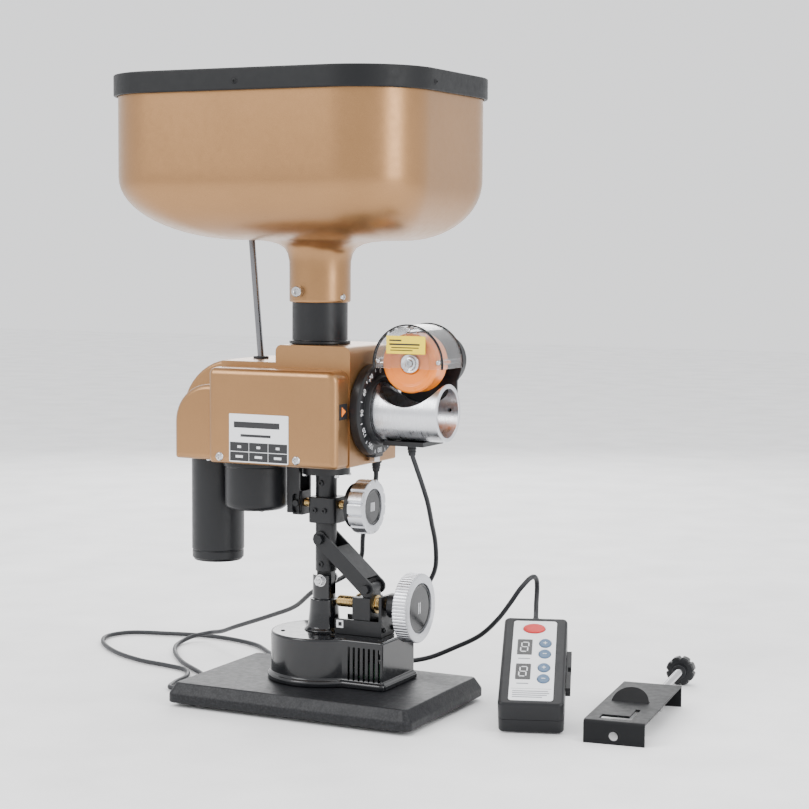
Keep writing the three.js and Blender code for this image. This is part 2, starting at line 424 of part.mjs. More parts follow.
function head() {
  const frontOutline = (inset) => outline(FRONT.x0 + inset, FRONT.x1 - inset, CASE.bottom + inset, FRONT.top - inset,
    [3, 3, FRONT.corner, FRONT.corner].map((r) => Math.max(r - inset, 0.6)));
  let body = caseBody(0, CASE.frontPlane, CASE.arcFront);
  body = body.subtract(caseBody(-WALL, CASE.frontPlane + WALL, CASE.arcFront + WALL));
  body = body.subtract(pushedY(frontOutline(WALL), CASE.frontPlane - 1, CASE.frontPlane + WALL + 1));
  body = body.subtract(bar('z', NECK.bottom - 4, NECK.lipTop, NECK.x, 0, NECK.outer + GAP, 28));
  body = body.subtract(bar('x', CASE.side - 10, CASE.side + 10, 0, TUBE.z, TUBE.outer + 2 * GAP, 32));
  body = body.subtract(bar('z', CASE.bottom - 5, CASE.bottom + 8, UPPER_PIVOT.x, 0, CASE_HOLES.joint, 28));
  add('case_body', body.subtract(bar('z', CASE.flatTop - 9, CASE.flatTop + 6, ROD.foot[0] - 1.3, ROD.foot[1],
    CASE_HOLES.rod, 16)), GOLD);

  const back = CASE.frontPlane - GAP;
  let front = pushedY(frontOutline(2), FRONT.y, FRONT.y + 3).add(pushedY(frontOutline(0), FRONT.y + 2, back));
  front = front.subtract(pushedY(frontOutline(WALL), FRONT.y + WALL + 1, back + 1));
  add('front_cover', front, GOLD);

  const lower = (inset) => outline(GEAR_COVER.x0 + inset, FRONT.x0 - GAP - inset, CASE.bottom + inset,
    GEAR_COVER.top - inset, [2, 0, 0, GEAR_COVER.arc - inset].map((r) => Math.max(r, 0)));
  const coverBack = CASE.arcFront - GAP;
  let cover = pushedY(lower(0), GEAR_COVER.y, coverBack, 10);
  cover = cover.subtract(pushedY(lower(WALL), GEAR_COVER.y + WALL, coverBack + 1, 10));
  add('gear_cover', cover, GOLD);

  let flange = bar('z', FLANGE.z0, CASE.bottom - GAP, FLANGE.x, 0, FLANGE.radius, 32);
  let ears = block(EAR.x0, EAR.x1, -EAR.outer, EAR.outer, FLANGE.z0 + 1, CASE.bottom + EAR.rise);
  ears = ears.subtract(block(EAR.x0 - 1, EAR.x1 + 1, -EAR.inner, EAR.inner, FLANGE.z0, CASE.bottom + EAR.rise + 1));
  let bore = bar('z', FLANGE.z0 - 1, CASE.bottom, FLANGE.x, 0, FLANGE.hole, 28);
  bore = bore.subtract(block(EAR.x0, EAR.x1, EAR.inner, FLANGE.radius, FLANGE.z0 - 1, CASE.bottom));
  bore = bore.subtract(block(EAR.x0, EAR.x1, -FLANGE.radius, -EAR.inner, FLANGE.z0 - 1, CASE.bottom));
  flange = flange.subtract(bore).add(ears);
  flange = flange.subtract(bar('y', -THROUGH, THROUGH, UPPER_PIVOT.x, UPPER_PIVOT.z, PIN.hole, 16));
  add('case_flange', flange, BLACK_METAL);
  add('head_hinge_pin', bar('y', -EAR.pinEnd, EAR.pinEnd, UPPER_PIVOT.x, UPPER_PIVOT.z, PIN.radius, 16), STEEL);

  const { slotX, slotHalf } = TILT_LUG;
  let lug = block(TILT_LUG.x0, TILT_LUG.x1, -TILT_LUG.outer, TILT_LUG.outer, TILT_LUG.bottom, CASE.bottom - GAP);
  lug = lug.subtract(block(-THROUGH, 0, -TILT_LUG.inner, TILT_LUG.inner, 0, CASE.bottom - TILT_LUG.plate));
  const slot = outline(slotX - PIN.hole, slotX + PIN.hole, TILT_SCREW.z - slotHalf, TILT_SCREW.z + slotHalf,
    PIN.hole);
  add('tilt_lug', lug.subtract(pushedY(slot, -THROUGH, THROUGH, 4)), BLACK_METAL);

  let neck = bar('z', NECK.bottom, NECK.top, NECK.x, 0, NECK.outer, 28);
  neck = neck.add(bar('z', CASE.tallTop + GAP, NECK.lipTop, NECK.x, 0, NECK.lip, 28));
  add('neck_tube', neck.subtract(bar('z', NECK.bottom - 1, NECK.top + 1, NECK.x, 0, NECK.bore, 36)), BLACK_PLASTIC);

  let motor = turned([[0, FEED_MOTOR.bottom], [FEED_MOTOR.radius - 2, FEED_MOTOR.bottom],
    [FEED_MOTOR.radius, FEED_MOTOR.bottom + 2], [FEED_MOTOR.radius, FEED_MOTOR.top], [0, FEED_MOTOR.top]],
  FEED_MOTOR.x, FEED_MOTOR.y, 28);
  add('feed_motor', motor, BLACK_PLASTIC);
  const gearbox = turned([[0, GEARBOX.bottom], [GEARBOX.radius - 2, GEARBOX.bottom],
    [GEARBOX.radius, GEARBOX.bottom + 2], [GEARBOX.radius, FEED_MOTOR.top], [0, FEED_MOTOR.top]],
  GEARBOX.x, GEARBOX.y, 28);
  add('feed_gearbox', gearbox, BLACK_PLASTIC);
  const pusher = bar('x', PUSHER.x0, PUSHER.x1, 0, TUBE.z, PUSHER.radius, 24);
  const hollow = bar('x', PUSHER.x0 - 1, PUSHER.x1 - PUSHER.floor, 0, TUBE.z, PUSHER.bore, 24);
  add('ball_pusher', pusher.subtract(hollow), WHITE);
  const from = new THREE.Vector3(...ROD.foot);
  const to = new THREE.Vector3(...ROD.head);
  const path = new THREE.LineCurve3(from, to);
  const section = new THREE.Shape().absarc(0, 0, ROD.radius, 0, 2 * Math.PI);
  add('stir_rod', solid(new THREE.ExtrudeGeometry(section, { steps: 1, extrudePath: path, curveSegments: 8 })), STEEL);
}

// ---------------------------------------------------------------- hopper
// Rings of the tub from its flat bottom up a quarter ellipse and a straight wall; inset is its thickness.
function tubRings(inset) {
  const rings = [];
  const rise = HOPPER.shoulder - HOPPER.bottom;
  for (let i = 0; i <= 6; i++) {
    const angle = radians(90 - 90 * i / 6);
    const share = 1 - Math.cos(angle);
    const x = HOPPER.x + (HOPPER.neckX + 4 - HOPPER.x) * share;
    const halfX = HOPPER.halfX + (HOPPER.bottomHalfX - HOPPER.halfX) * share - inset;
    const halfY = HOPPER.halfY + (HOPPER.bottomHalfY - HOPPER.halfY) * share - inset;
    const corner = HOPPER.corner + (HOPPER.bottomCorner - HOPPER.corner) * share - inset;
    const z = HOPPER.shoulder + inset - rise * Math.sin(angle);
    rings.push(roundedRing(x, halfX, halfY, Math.min(corner, halfY - 0.5), Math.min(z, HOPPER.shoulder)));
  }
  const lift = inset ? 5 : 0;
  rings.push(roundedRing(HOPPER.x, HOPPER.halfX - inset, HOPPER.halfY - inset, HOPPER.corner - inset,
    HOPPER.top + lift));
  return rings;
}

function rimRings(inset, corner, z0, z1) {
  return [z0, z1].map((z) => roundedRing(HOPPER.x, RIM.halfX - inset, RIM.halfY - inset, corner - inset, z));
}

function hopper() {
  const r = HOPPER.socket;
  const neckOutside = turned([[0, HOPPER.socketBottom], [r, HOPPER.socketBottom],
    ...SOCKET_FLARE.map(([outset, z]) => [r + outset, z]), [r + 16, HOPPER.bottom + 1], [0, HOPPER.bottom + 1]],
  HOPPER.neckX, 0, 28);
  let tub = loft(tubRings(0)).add(neckOutside).subtract(loft(tubRings(HOPPER.wall)));
  tub = tub.subtract(bar('z', NECK.bottom, HOPPER.bottom + 6, HOPPER.neckX, 0, NECK.bore, 28));
  tub = tub.subtract(bar('z', NECK.bottom, NECK.top + GAP, HOPPER.neckX, 0, NECK.outer + GAP, 28));
  const [low, high] = [MOUTH_FLARE[0][1], MOUTH_FLARE[2][1]];
  const flare = turned([[0, low], ...MOUTH_FLARE.map(([outset, z]) => [NECK.bore + outset, z]), [0, high]],
    HOPPER.neckX, 0, 28);
  tub = tub.subtract(flare);
  tub = tub.subtract(bar('z', ROD_HOLE.z0, ROD_HOLE.z1, ROD_HOLE.x, ROD.foot[1], ROD_HOLE.radius, 16));
  add('hopper_tub', tub, GOLD);
  const outer = loft(rimRings(0, RIM.corner, RIM.z0, RIM.z1));
  const groove = RIM.halfX - HOPPER.halfX - GAP;
  const inner = loft(rimRings(groove + HOPPER.wall + 2 * GAP + RIM_LIP, RIM.corner, RIM.z0 - 1, RIM.z1 + 1));
  const channel = loft(rimRings(groove, RIM.corner, RIM.z0 - 1, HOPPER.top + GAP));
  const core = loft(rimRings(groove + HOPPER.wall + 2 * GAP, RIM.corner, RIM.z0 - 1, HOPPER.top + GAP));
  add('hopper_rim', outer.subtract(inner).subtract(channel.subtract(core)), RUBBER);
  const screwY = -HOPPER.socket - GAP;
  const screw = bar('y', screwY - NECK_SCREW.length, screwY, NECK_SCREW.x, NECK_SCREW.z, NECK_SCREW.radius, 16);
  add('neck_screw', screw, STEEL);
}

// ---------------------------------------------------------------- throwing head
function throwingHead() {
  let dial = bar('x', DIAL.x0, DIAL.x1, 0, TUBE.z, DIAL.radius, 40);
  dial = dial.add(bar('x', DIAL.x0, DIAL.collarEnd, 0, TUBE.z, DIAL.collar, 32));
  dial = dial.add(bar('z', DIAL_STOP.z0, DIAL_STOP.z1, DIAL_STOP.x, 0, DIAL_STOP.radius, 6));
  dial = dial.subtract(bar('x', DIAL.x0 - 1, DIAL.collarEnd + 1, 0, TUBE.z, TUBE.outer + GAP, 32));
  add('dial_ring', dial, BLACK_METAL);

  let tube = bar('x', TUBE.x0, TUBE.x1, 0, TUBE.z, TUBE.outer, 32);
  tube = tube.subtract(bar('x', TUBE.x0 - 1, TUBE.x1 + 1, 0, TUBE.z, TUBE.bore, 32));
  const cut = bar('y', -THROUGH, THROUGH, SADDLE.x, SADDLE.z, SADDLE.radius, 36);
  add('discharge_tube', tube.subtract(cut), ALUMINIUM);

  let bracket = block(BRACKET.x0, BRACKET.stepX, BRACKET.y0, BRACKET.y1, BRACKET.z0, WHEEL.z);
  bracket = bracket.add(block(BRACKET.x0, BRACKET.x1, BRACKET.y0, BRACKET.y1, BRACKET.stepZ, WHEEL.z));
  bracket = bracket.add(bar('y', BRACKET.y0, BRACKET.y1, WHEEL.x, WHEEL.z, COVER.radius - 1, 28));
  bracket = bracket.add(block(BRACKET.footX, BRACKET.stepX, BRACKET.foot, BRACKET.y1, BRACKET.z0,
    TUBE.z - TUBE.outer - GAP));
  add('motor_bracket', bracket.subtract(bar('y', 0, THROUGH, WHEEL.x, WHEEL.z, BRACKET.shaftHole, 20)), BLACK_METAL);
  let motor = bar('y', THROW_MOTOR.y0, THROW_MOTOR.y1, WHEEL.x, WHEEL.z, THROW_MOTOR.radius, 28);
  motor = motor.add(bar('y', THROW_MOTOR.shaftStart, THROW_MOTOR.y0 + 1, WHEEL.x, WHEEL.z, THROW_MOTOR.shaft, 16));
  add('throw_motor', motor, BLACK_PLASTIC);

  const arch = (radius, y0, y1) => bar('y', y0, y1, WHEEL.x, WHEEL.z, radius, 32);
  const keep = block(0, 2 * WHEEL.x, -THROUGH, THROUGH, COVER.bottom, HOPPER.top);
  let cover = arch(COVER.radius, COVER.y0, COVER.y1);
  cover = cover.subtract(arch(COVER.radius - COVER.wall, COVER.y0 + COVER.wall, COVER.y1 + 1));
  add('wheel_cover', cover.intersect(keep), CLEAR);

  let wheel = bar('y', WHEEL.y0, WHEEL.y1, WHEEL.x, WHEEL.z, WHEEL.radius, 32);
  wheel = wheel.subtract(bar('y', WHEEL.y0 - 1, WHEEL.y0 + WHEEL.recess, WHEEL.x, WHEEL.z, WHEEL.hub + 1, 24));
  wheel = wheel.add(bar('y', WHEEL.y0 - WHEEL.proud, WHEEL.y0 + 2, WHEEL.x, WHEEL.z, WHEEL.hub, 24));
  add('throw_wheel', wheel, ORANGE);
}

// ---------------------------------------------------------------- controller
const half = ({ halfX, halfY }) => ({ halfX, halfY });

function controller() {
  const group = new THREE.Group();
  group.position.set(CONTROLLER.x, CONTROLLER.y, CONTROLLER.rest);
  group.rotation.set(radians(CONTROLLER.tilt), 0, radians(CONTROLLER.yaw), 'ZXY');
  assembly.add(group);
  const { width, length, height, split } = CONTROLLER;
  const shell = (inset) => outline(inset, width - inset, inset, length - inset, CONTROLLER.corner - inset / 2);
  const lower = pushedZ(shell(0), 0, split - GAP).subtract(pushedZ(shell(WALL), WALL, split));
  let upper = pushedZ(shell(0), split, height - 1.5).add(pushedZ(shell(1.4), height - 2, height));
  upper = upper.subtract(pushedZ(shell(WALL), split - 1, height - WALL));
  const sheet = (inset) => outline(PANEL.x0 + inset, PANEL.x1 - inset, PANEL.y0 + inset, PANEL.y1 - inset,
    PANEL.corner);
  upper = upper.subtract(pushedZ(sheet(0), height - PANEL.sink, height + 1));
  let panel = pushedZ(sheet(GAP), height - PANEL.sink + GAP, height + PANEL.proud);
  const ellipse = (x, y, a, b) => new THREE.Shape().absellipse(x, y, a, b, 0, 2 * Math.PI);
  const keys = BUTTON.rows.map((y, i) => (
    { name: `button_${i + 1}`, x: BUTTON.x, y, look: BLUE_GREY, ...half(BUTTON) }));
  keys.push({ name: 'power_key', x: KEY.x, y: KEY.y, look: RED, ...half(KEY) });
  for (const key of keys) {
    const hole = pushedZ(ellipse(key.x, key.y, key.halfX + PRESS.gap, key.halfY + PRESS.gap), height - PRESS.hole,
      height + 2, 6);
    upper = upper.subtract(hole);
    panel = panel.subtract(hole);
    const cap = pushedZ(ellipse(key.x, key.y, key.halfX, key.halfY), height - PRESS.root, height + PRESS.proud, 6);
    add(key.name, cap, key.look, group);
  }
  add('controller_base', lower, BLACK_PLASTIC, group);
  add('controller_top', upper, BLACK_PLASTIC, group);
  add('controller_panel', panel, WHITE, group);
  let stand = block(STAND.x0, STAND.x1, STAND.y0, STAND.y1, -GAP - STAND.plate, -GAP);
  stand = stand.add(block(STAND.x0, STAND.x1, STAND.y1 - STAND.legThickness, STAND.y1, -STAND.leg, -GAP));
  add('controller_stand', stand, BLACK_METAL, group);
  const side = width + GAP;
  const clipMiddle = (CLIP.y0 + CLIP.y1) / 2;
  const clip = block(side, side + CLIP.thickness, CLIP.y0, CLIP.y1, CLIP.z0, CLIP.z1);
  const notch = block(side + CLIP.floor, side + 2 * CLIP.thickness, clipMiddle - CLIP.notch,
    clipMiddle + CLIP.notch, 0, height);
  add('controller_clip', clip.subtract(notch), BLACK_METAL, group);
  const gland = along('y', new THREE.CylinderGeometry(GLAND.tip, GLAND.base, GLAND.length, 16));
  gland.translate(GLAND.x, length + GLAND.length / 2 + GAP, GLAND.z);
  const bore = bar('y', length + GLAND.solid, length + 2 * GLAND.length, GLAND.x, GLAND.z, LEAD.radius + GAP, 12);
  add('controller_gland', solid(gland).subtract(bore), RUBBER, group);
}

// ---------------------------------------------------------------- table bracket
function tableBracket() {
  const group = new THREE.Group();
  group.position.set(TABLE_BRACKET.x, TABLE_BRACKET.y, 0);
  group.rotation.z = radians(TABLE_BRACKET.yaw);
  assembly.add(group);
  const { width, length, height, sheet } = TABLE_BRACKET;
  let bracket = block(0, width, 0, length, height - sheet, height);
  bracket = bracket.add(block(0, width, 0, sheet, 0, height)).add(block(0, width, length - sheet, length, 0, height));
  bracket = bracket.subtract(bar('y', -1, sheet + 1, BRACKET_HOLE.x, BRACKET_HOLE.z, BRACKET_HOLE.radius, 16));
  const cut = BRACKET_SLOT;
  bracket = bracket.subtract(block(cut.x0, cut.x1, cut.y0, cut.y1, 0, height + 1));
  bracket = bracket.subtract(block(cut.legX, cut.x1, cut.y0, cut.legEnd, 0, height + 1));
  const screwHole = bar('y', length - 10, length + 10, CLAMP.x, CLAMP.z, CLAMP.radius + CLAMP.slack, 16);
  // A half-disc cut free along its arc and bent up about its straight side.
  const flap = TONGUE_FLAP;
  const halfDisc = (radius) => new THREE.Shape().absarc(0, 0, radius, 0, Math.PI);
  const opening = geometryOf(pushedZ(halfDisc(flap.radius + flap.gap), -height, height, 10));
  opening.translate(flap.x, flap.y + 1, height);
  const tongue = geometryOf(pushedZ(halfDisc(flap.radius), -sheet, 0, 10));
  tongue.rotateX(radians(flap.rise)).translate(flap.x, flap.y, height);
  bracket = bracket.subtract(screwHole).subtract(solid(opening)).add(solid(tongue));
  add('table_bracket', bracket, BLACK_METAL, group);
  add('clamp_screw', bar('y', CLAMP.start, CLAMP.end, CLAMP.x, CLAMP.z, CLAMP.radius, 16), STEEL, group);
  let star = bar('y', 0, CLAMP.thick, 0, 0, CLAMP.knob - 3, 14);
  for (let i = 0; i < CLAMP.lobes; i++) {
    const angle = 2 * Math.PI * i / CLAMP.lobes;
    const reach = CLAMP.knob - CLAMP.lobe;
    star = star.add(bar('y', 0, CLAMP.thick, reach * Math.cos(angle), reach * Math.sin(angle), CLAMP.lobe, 8));
  }
  const knob = geometryOf(star.subtract(bar('y', -1, CLAMP.grip, 0, 0, CLAMP.radius + GAP, 16)));
  add('clamp_knob', knob.translate(CLAMP.x, CLAMP.end - CLAMP.grip + GAP, CLAMP.z), RUBBER, group);
  let pad = block(CLAMP.x - PAD.half, CLAMP.x + PAD.half, CLAMP.start - PAD.back, CLAMP.start + PAD.front,
    PAD.z0, PAD.z1);
  const socket = bar('y', CLAMP.start - GAP, CLAMP.start + PAD.front + 1, CLAMP.x, CLAMP.z, CLAMP.radius + GAP, 16);
  pad = pad.subtract(socket);
  add('clamp_pad', pad, STEEL, group);
}

// ---------------------------------------------------------------- leads
function leads() {
  add('lead_throw_motor', lead([[84, 10, 240.6], [84.5, 10, 232], [86, 14, 222], [88, 22, 206], [88.5, 28, 196],
    [88, 36, 185], [84, 54, 162], [82, 65, 146], [80, 72, 129], [77.5, 75.5, 118], [73, 77, 108], [58, 74, 84],
    [42, 64, 62], [30, 56, 49], [22.8, 47.6, 44]], 36), RUBBER);
  add('lead_feed_motor', lead([[38, 30, 221.4], [37.6, 30.5, 214], [36, 33, 203], [28, 38, 178], [18, 43, 150],
    [13, 48, 126], [-4, 54, 109], [-24, 61, 98], [-50, 71, 86], [-84, 94, 64], [-118, 110, 50],
    [-180, 138, 27], [-206, 155, 17], [-229, 168, 11], [-246, 162, 6.5], [-250, 143, 2.9], [-236, 112, 2.9],
    [-198, 66, 2.9], [-143, 20, 2.9], [-129, -6, 2.9], [-131, -30, 2.9], [-145, -36, 2.9], [-153, -18, 2.9],
    [-158, 12, 2.9], [-174, 35, 2.9], [-202, 44, 2.9], [-236, 51, 2.9], [-282, 73, 2.9], [-324, 110, 2.9],
    [-337, 138, 2.9], [-327, 163, 2.9], [-286, 178, 2.9], [-240, 187, 2.9], [-204, 182, 2.9], [-171, 169, 2.9],
    [-136, 138, 3], [-104, 108, 8], [-76, 84, 24], [-56, 66, 31], [-38.4, 45.8, 34]], 76), RUBBER);
  add('lead_controller', lead([[47, 36, 34], [52, 44, 33], [60, 58, 31], [76, 68, 34], [98, 74, 44], [124, 75, 58],
    [144, 71, 76], [158, 67, 93], [168, 64.5, 106.5], [173.5, 64.5, 113], [177, 68.5, 117.5], [178.5, 74, 118],
    [178.5, 79.5, 114.5], [177.8, 83, 108], [177, 84.5, 100], [177, 83.5, 92], [178.5, 79.5, 85.5],
    [181.8, 71, 80.2]], 44), RUBBER);
}

base();
turret();
heightScrew();
link();
column();
tiltScrew();
head();
hopper();
throwingHead();
controller();
tableBracket();
leads();

// The origin is the middle of the footprint of everything but the leads, on the surface it stands on.
const footprint = new THREE.Box3();
assembly.updateMatrixWorld(true);
assembly.traverse((piece) => {
  if (piece.isMesh && !piece.name.startsWith('lead_')) footprint.expandByObject(piece, true);
});
const middle = footprint.getCenter(new THREE.Vector3());
assembly.position.set(-Math.round(middle.x), -Math.round(middle.y), 0);

export default assembly;
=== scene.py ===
import math
import random

import bmesh
import bpy
from mathutils import Matrix, Vector


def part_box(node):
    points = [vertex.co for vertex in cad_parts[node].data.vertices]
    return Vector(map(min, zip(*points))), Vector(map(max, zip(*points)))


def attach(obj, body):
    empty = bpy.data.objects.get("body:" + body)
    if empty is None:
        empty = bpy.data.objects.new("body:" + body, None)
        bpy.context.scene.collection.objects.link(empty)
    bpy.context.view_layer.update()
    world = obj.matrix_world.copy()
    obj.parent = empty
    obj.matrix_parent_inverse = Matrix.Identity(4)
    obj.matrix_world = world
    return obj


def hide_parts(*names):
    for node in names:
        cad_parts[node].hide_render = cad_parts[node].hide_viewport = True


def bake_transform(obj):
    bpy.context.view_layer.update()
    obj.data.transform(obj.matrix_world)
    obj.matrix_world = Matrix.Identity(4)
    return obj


# Shapes are made in millimetres from the turret's axis, with the floor at 0, and placed in metres at the end.

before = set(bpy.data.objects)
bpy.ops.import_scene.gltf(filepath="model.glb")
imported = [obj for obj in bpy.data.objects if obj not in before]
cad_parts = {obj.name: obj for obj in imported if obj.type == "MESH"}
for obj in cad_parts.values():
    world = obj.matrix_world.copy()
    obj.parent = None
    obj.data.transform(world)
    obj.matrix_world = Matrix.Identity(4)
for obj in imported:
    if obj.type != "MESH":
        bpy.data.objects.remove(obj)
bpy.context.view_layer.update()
MM = 0.001
random.seed(7)

post_low, post_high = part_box("turret_post")
TURRET = Vector(((post_low.x + post_high.x) / 2, (post_low.y + post_high.y) / 2, 0))


class Box:
    """A CAD node's box in millimetres from the turret's axis."""

    def __init__(self, node):
        low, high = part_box(node)
        self.x0, self.y0, self.z0 = (low - TURRET) / MM
        self.x1, self.y1, self.z1 = (high - TURRET) / MM
        self.x, self.y, self.z = (self.x0 + self.x1) / 2, (self.y0 + self.y1) / 2, (self.z0 + self.z1) / 2
        self.dx, self.dy, self.dz = self.x1 - self.x0, self.y1 - self.y0, self.z1 - self.z0


# ---------------------------------------------------------------- camera, light and floor
CAMERA = {"place": (0.780, -1.617, 0.422), "yaw": 26.17, "pitch": 4.73, "roll": 0.33, "lens": 86.82}


def make_camera():
    data = bpy.data.cameras.new("camera")
    data.lens, data.sensor_width = CAMERA["lens"], 36
    camera = bpy.data.objects.new("camera", data)
    bpy.context.scene.collection.objects.link(camera)
    yaw, pitch, roll = (math.radians(CAMERA[k]) for k in ("yaw", "pitch", "roll"))
    right = Vector((math.cos(yaw), math.sin(yaw), 0))
    ahead = Vector((-math.sin(yaw) * math.cos(pitch), math.cos(yaw) * math.cos(pitch), -math.sin(pitch)))
    up = right.cross(ahead)
    across = math.cos(roll) * right + math.sin(roll) * up
    above = -math.sin(roll) * right + math.cos(roll) * up
    turn = Matrix((across, above, -ahead)).transposed().to_4x4()
    camera.matrix_world = Matrix.Translation(CAMERA["place"]) @ turn
    bpy.context.scene.camera = camera


def area_light(name, place, target, width, height, power, tint=(1, 1, 1)):
    data = bpy.data.lights.new(name, "AREA")
    data.shape, data.size, data.size_y, data.energy, data.color = "RECTANGLE", width, height, power, tint
    light = bpy.data.objects.new(name, data)
    light.location = place
    light.rotation_euler = (Vector(target) - Vector(place)).to_track_quat("-Z", "Y").to_euler()
    bpy.context.scene.collection.objects.link(light)


def make_stage():
    middle = (0, 0, 0.3)
    area_light("key_light", (-1.1, -1.5, 1.5), middle, 1.0, 1.3, 28)
    area_light("side_light", (1.7, -0.5, 0.9), middle, 0.7, 1.5, 20)
    area_light("top_light", (0.1, 0.2, 1.9), middle, 1.6, 1.2, 16)
    area_light("back_light", (-0.9, 1.6, 1.0), middle, 1.2, 1.2, 18)
    world = bpy.data.worlds.new("studio")
    world.use_nodes = True
    world.node_tree.nodes["Background"].inputs[0].default_value = (0.98, 0.985, 1.0, 1)
    world.node_tree.nodes["Background"].inputs[1].default_value = 1.45
    bpy.context.scene.world = world
    half = 6
    corners = [(-half, -half, 0), (half, -half, 0), (half, half, 0), (-half, half, 0)]
    mesh = bpy.data.meshes.new("floor")
    mesh.from_pydata(corners, [], [(0, 1, 2, 3)])
    floor = bpy.data.objects.new("floor", mesh)
    bpy.context.scene.collection.objects.link(floor)
    floor.data.materials.append(surface("floor_paper", (0.95, 0.95, 0.95), 0.8, grain=400, depth=0.00002))


# ---------------------------------------------------------------- materials
def shader(name):
    made = bpy.data.materials.new(name)
    made.use_nodes = True
    tree = made.node_tree
    return made, tree.nodes, tree.links, tree.nodes["Principled BSDF"]


def noise(nodes, links, vector, scale, detail=3.0, rough=0.5):
    made = nodes.new("ShaderNodeTexNoise")
    made.inputs["Scale"].default_value = scale
    made.inputs["Detail"].default_value = detail
    made.inputs["Roughness"].default_value = rough
    links.new(vector, made.inputs["Vector"])
    return made.outputs["Fac"]


def mapped(nodes, links, value, low, high, source=(0.3, 0.7)):
    made = nodes.new("ShaderNodeMapRange")
    made.inputs["From Min"].default_value, made.inputs["From Max"].default_value = source
    made.inputs["To Min"].default_value, made.inputs["To Max"].default_value = low, high
    links.new(value, made.inputs["Value"])
    return made.outputs["Result"]


def mixed(nodes, links, factor, first, second):
    made = nodes.new("ShaderNodeMix")
    made.data_type = "RGBA"
    links.new(factor, made.inputs["Factor"])
    for socket, value in ((made.inputs[6], first), (made.inputs[7], second)):
        if isinstance(value, tuple):
            socket.default_value = (*value, 1)
        else:
            links.new(value, socket)
    return made.outputs[2]


def bumped(nodes, links, height, depth, below=None):
    made = nodes.new("ShaderNodeBump")
    made.inputs["Distance"].default_value = depth
    made.inputs["Strength"].default_value = 1.0
    links.new(height, made.inputs["Height"])
    if below is not None:
        links.new(below, made.inputs["Normal"])
    return made.outputs["Normal"]


def object_vector(nodes):
    return nodes.new("ShaderNodeTexCoord").outputs["Object"]


def surface(name, color, roughness, metallic=0.0, grain=900, depth=0.00003, mottle=0.06, vary=0.05,
            coat=0.0, coat_roughness=0.1, specular=0.5, extra=None):
    """A surface with slow colour drift, uneven gloss, a fine grain and a little handling wear."""
    made, nodes, links, bsdf = shader(name)
    vector = object_vector(nodes)
    slow = noise(nodes, links, vector, 11)
    dark = tuple(c * (1 - mottle) for c in color)
    light = tuple(min(1, c * (1 + mottle)) for c in color)
    tone = mixed(nodes, links, mapped(nodes, links, slow, 0, 1), dark, light)
    middle = noise(nodes, links, vector, 170, 5)
    gloss = mapped(nodes, links, middle, max(0.02, roughness - vary), roughness + vary)
    fine = noise(nodes, links, vector, grain, 4, 0.6)
    normal = bumped(nodes, links, fine, depth)
    if extra is not None:
        tone, gloss, normal = extra(nodes, links, vector, tone, gloss, normal)
    links.new(tone, bsdf.inputs["Base Color"])
    links.new(gloss, bsdf.inputs["Roughness"])
    links.new(normal, bsdf.inputs["Normal"])
    bsdf.inputs["Metallic"].default_value = metallic
    bsdf.inputs["Coat Weight"].default_value = coat
    bsdf.inputs["Coat Roughness"].default_value = coat_roughness
    bsdf.inputs["Specular IOR Level"].default_value = specular
    return made


def flaked(nodes, links, vector, tone, gloss, normal):
    """Metallic paint: fine flakes of lighter and darker colour."""
    cells = nodes.new("ShaderNodeTexVoronoi")
    cells.inputs["Scale"].default_value = 5200
    links.new(vector, cells.inputs["Vector"])
    hue = nodes.new("ShaderNodeSeparateColor")
    links.new(cells.outputs["Color"], hue.inputs["Color"])
    shade = nodes.new("ShaderNodeMix")
    shade.data_type, shade.blend_type = "RGBA", "MULTIPLY"
    shade.inputs["Factor"].default_value = 1.0
    links.new(tone, shade.inputs[6])
    grey = nodes.new("ShaderNodeCombineColor")
    level = mapped(nodes, links, hue.outputs["Red"], 0.86, 1.12, (0, 1))
    for channel in ("Red", "Green", "Blue"):
        links.new(level, grey.inputs[channel])
    links.new(grey.outputs["Color"], shade.inputs[7])
    return shade.outputs[2], gloss, normal


def leathered(nodes, links, vector, tone, gloss, normal):
    """Textured powder coat: rounded pebbles with fine creases between them, and painted light and shade that
    make each pebble's middle lighter than the creases.
    """
    cells = nodes.new("ShaderNodeTexVoronoi")
    cells.feature = "SMOOTH_F1"
    cells.inputs["Scale"].default_value = 620
    links.new(vector, cells.inputs["Vector"])
    pebbles = bumped(nodes, links, cells.outputs["Distance"], 0.00012, normal)
    # painted light and shade: the colour is lighter in the middle of each pebble and darker in the creases
    # between them
    painted_pebble_shading = mixed(nodes, links, mapped(nodes, links, cells.outputs["Distance"], 1, 0, (0.1, 0.6)),
                 tone, (0.016, 0.0165, 0.019))
    return painted_pebble_shading, gloss, pebbles


def turned_lines(axis, centre, scale=2600.0, depth=0.00004):
    """Fine lathe lines round an axis through a point given in metres."""
    def lines(nodes, links, vector, tone, gloss, normal):
        shift = nodes.new("ShaderNodeVectorMath")
        shift.operation = "SUBTRACT"
        links.new(vector, shift.inputs[0])
        shift.inputs[1].default_value = centre
        split = nodes.new("ShaderNodeSeparateXYZ")
        links.new(shift.outputs[0], split.inputs[0])
        across = [name for name in "XYZ" if name.lower() != axis]
        flat = nodes.new("ShaderNodeCombineXYZ")
        for name in across:
            links.new(split.outputs[name], flat.inputs[name])
        length = nodes.new("ShaderNodeVectorMath")
        length.operation = "LENGTH"
        links.new(flat.outputs[0], length.inputs[0])
        join = nodes.new("ShaderNodeCombineXYZ")
        links.new(length.outputs["Value"], join.inputs["X"])
        links.new(split.outputs[axis.upper()], join.inputs["Y"])
        rings = noise(nodes, links, join.outputs[0], scale, 2)
        cut = bumped(nodes, links, rings, depth, normal)
        shine = nodes.new("ShaderNodeMath")
        shine.operation = "ADD"
        links.new(gloss, shine.inputs[0])
        links.new(mapped(nodes, links, rings, -0.06, 0.08), shine.inputs[1])
        return tone, shine.outputs[0], cut
    return lines


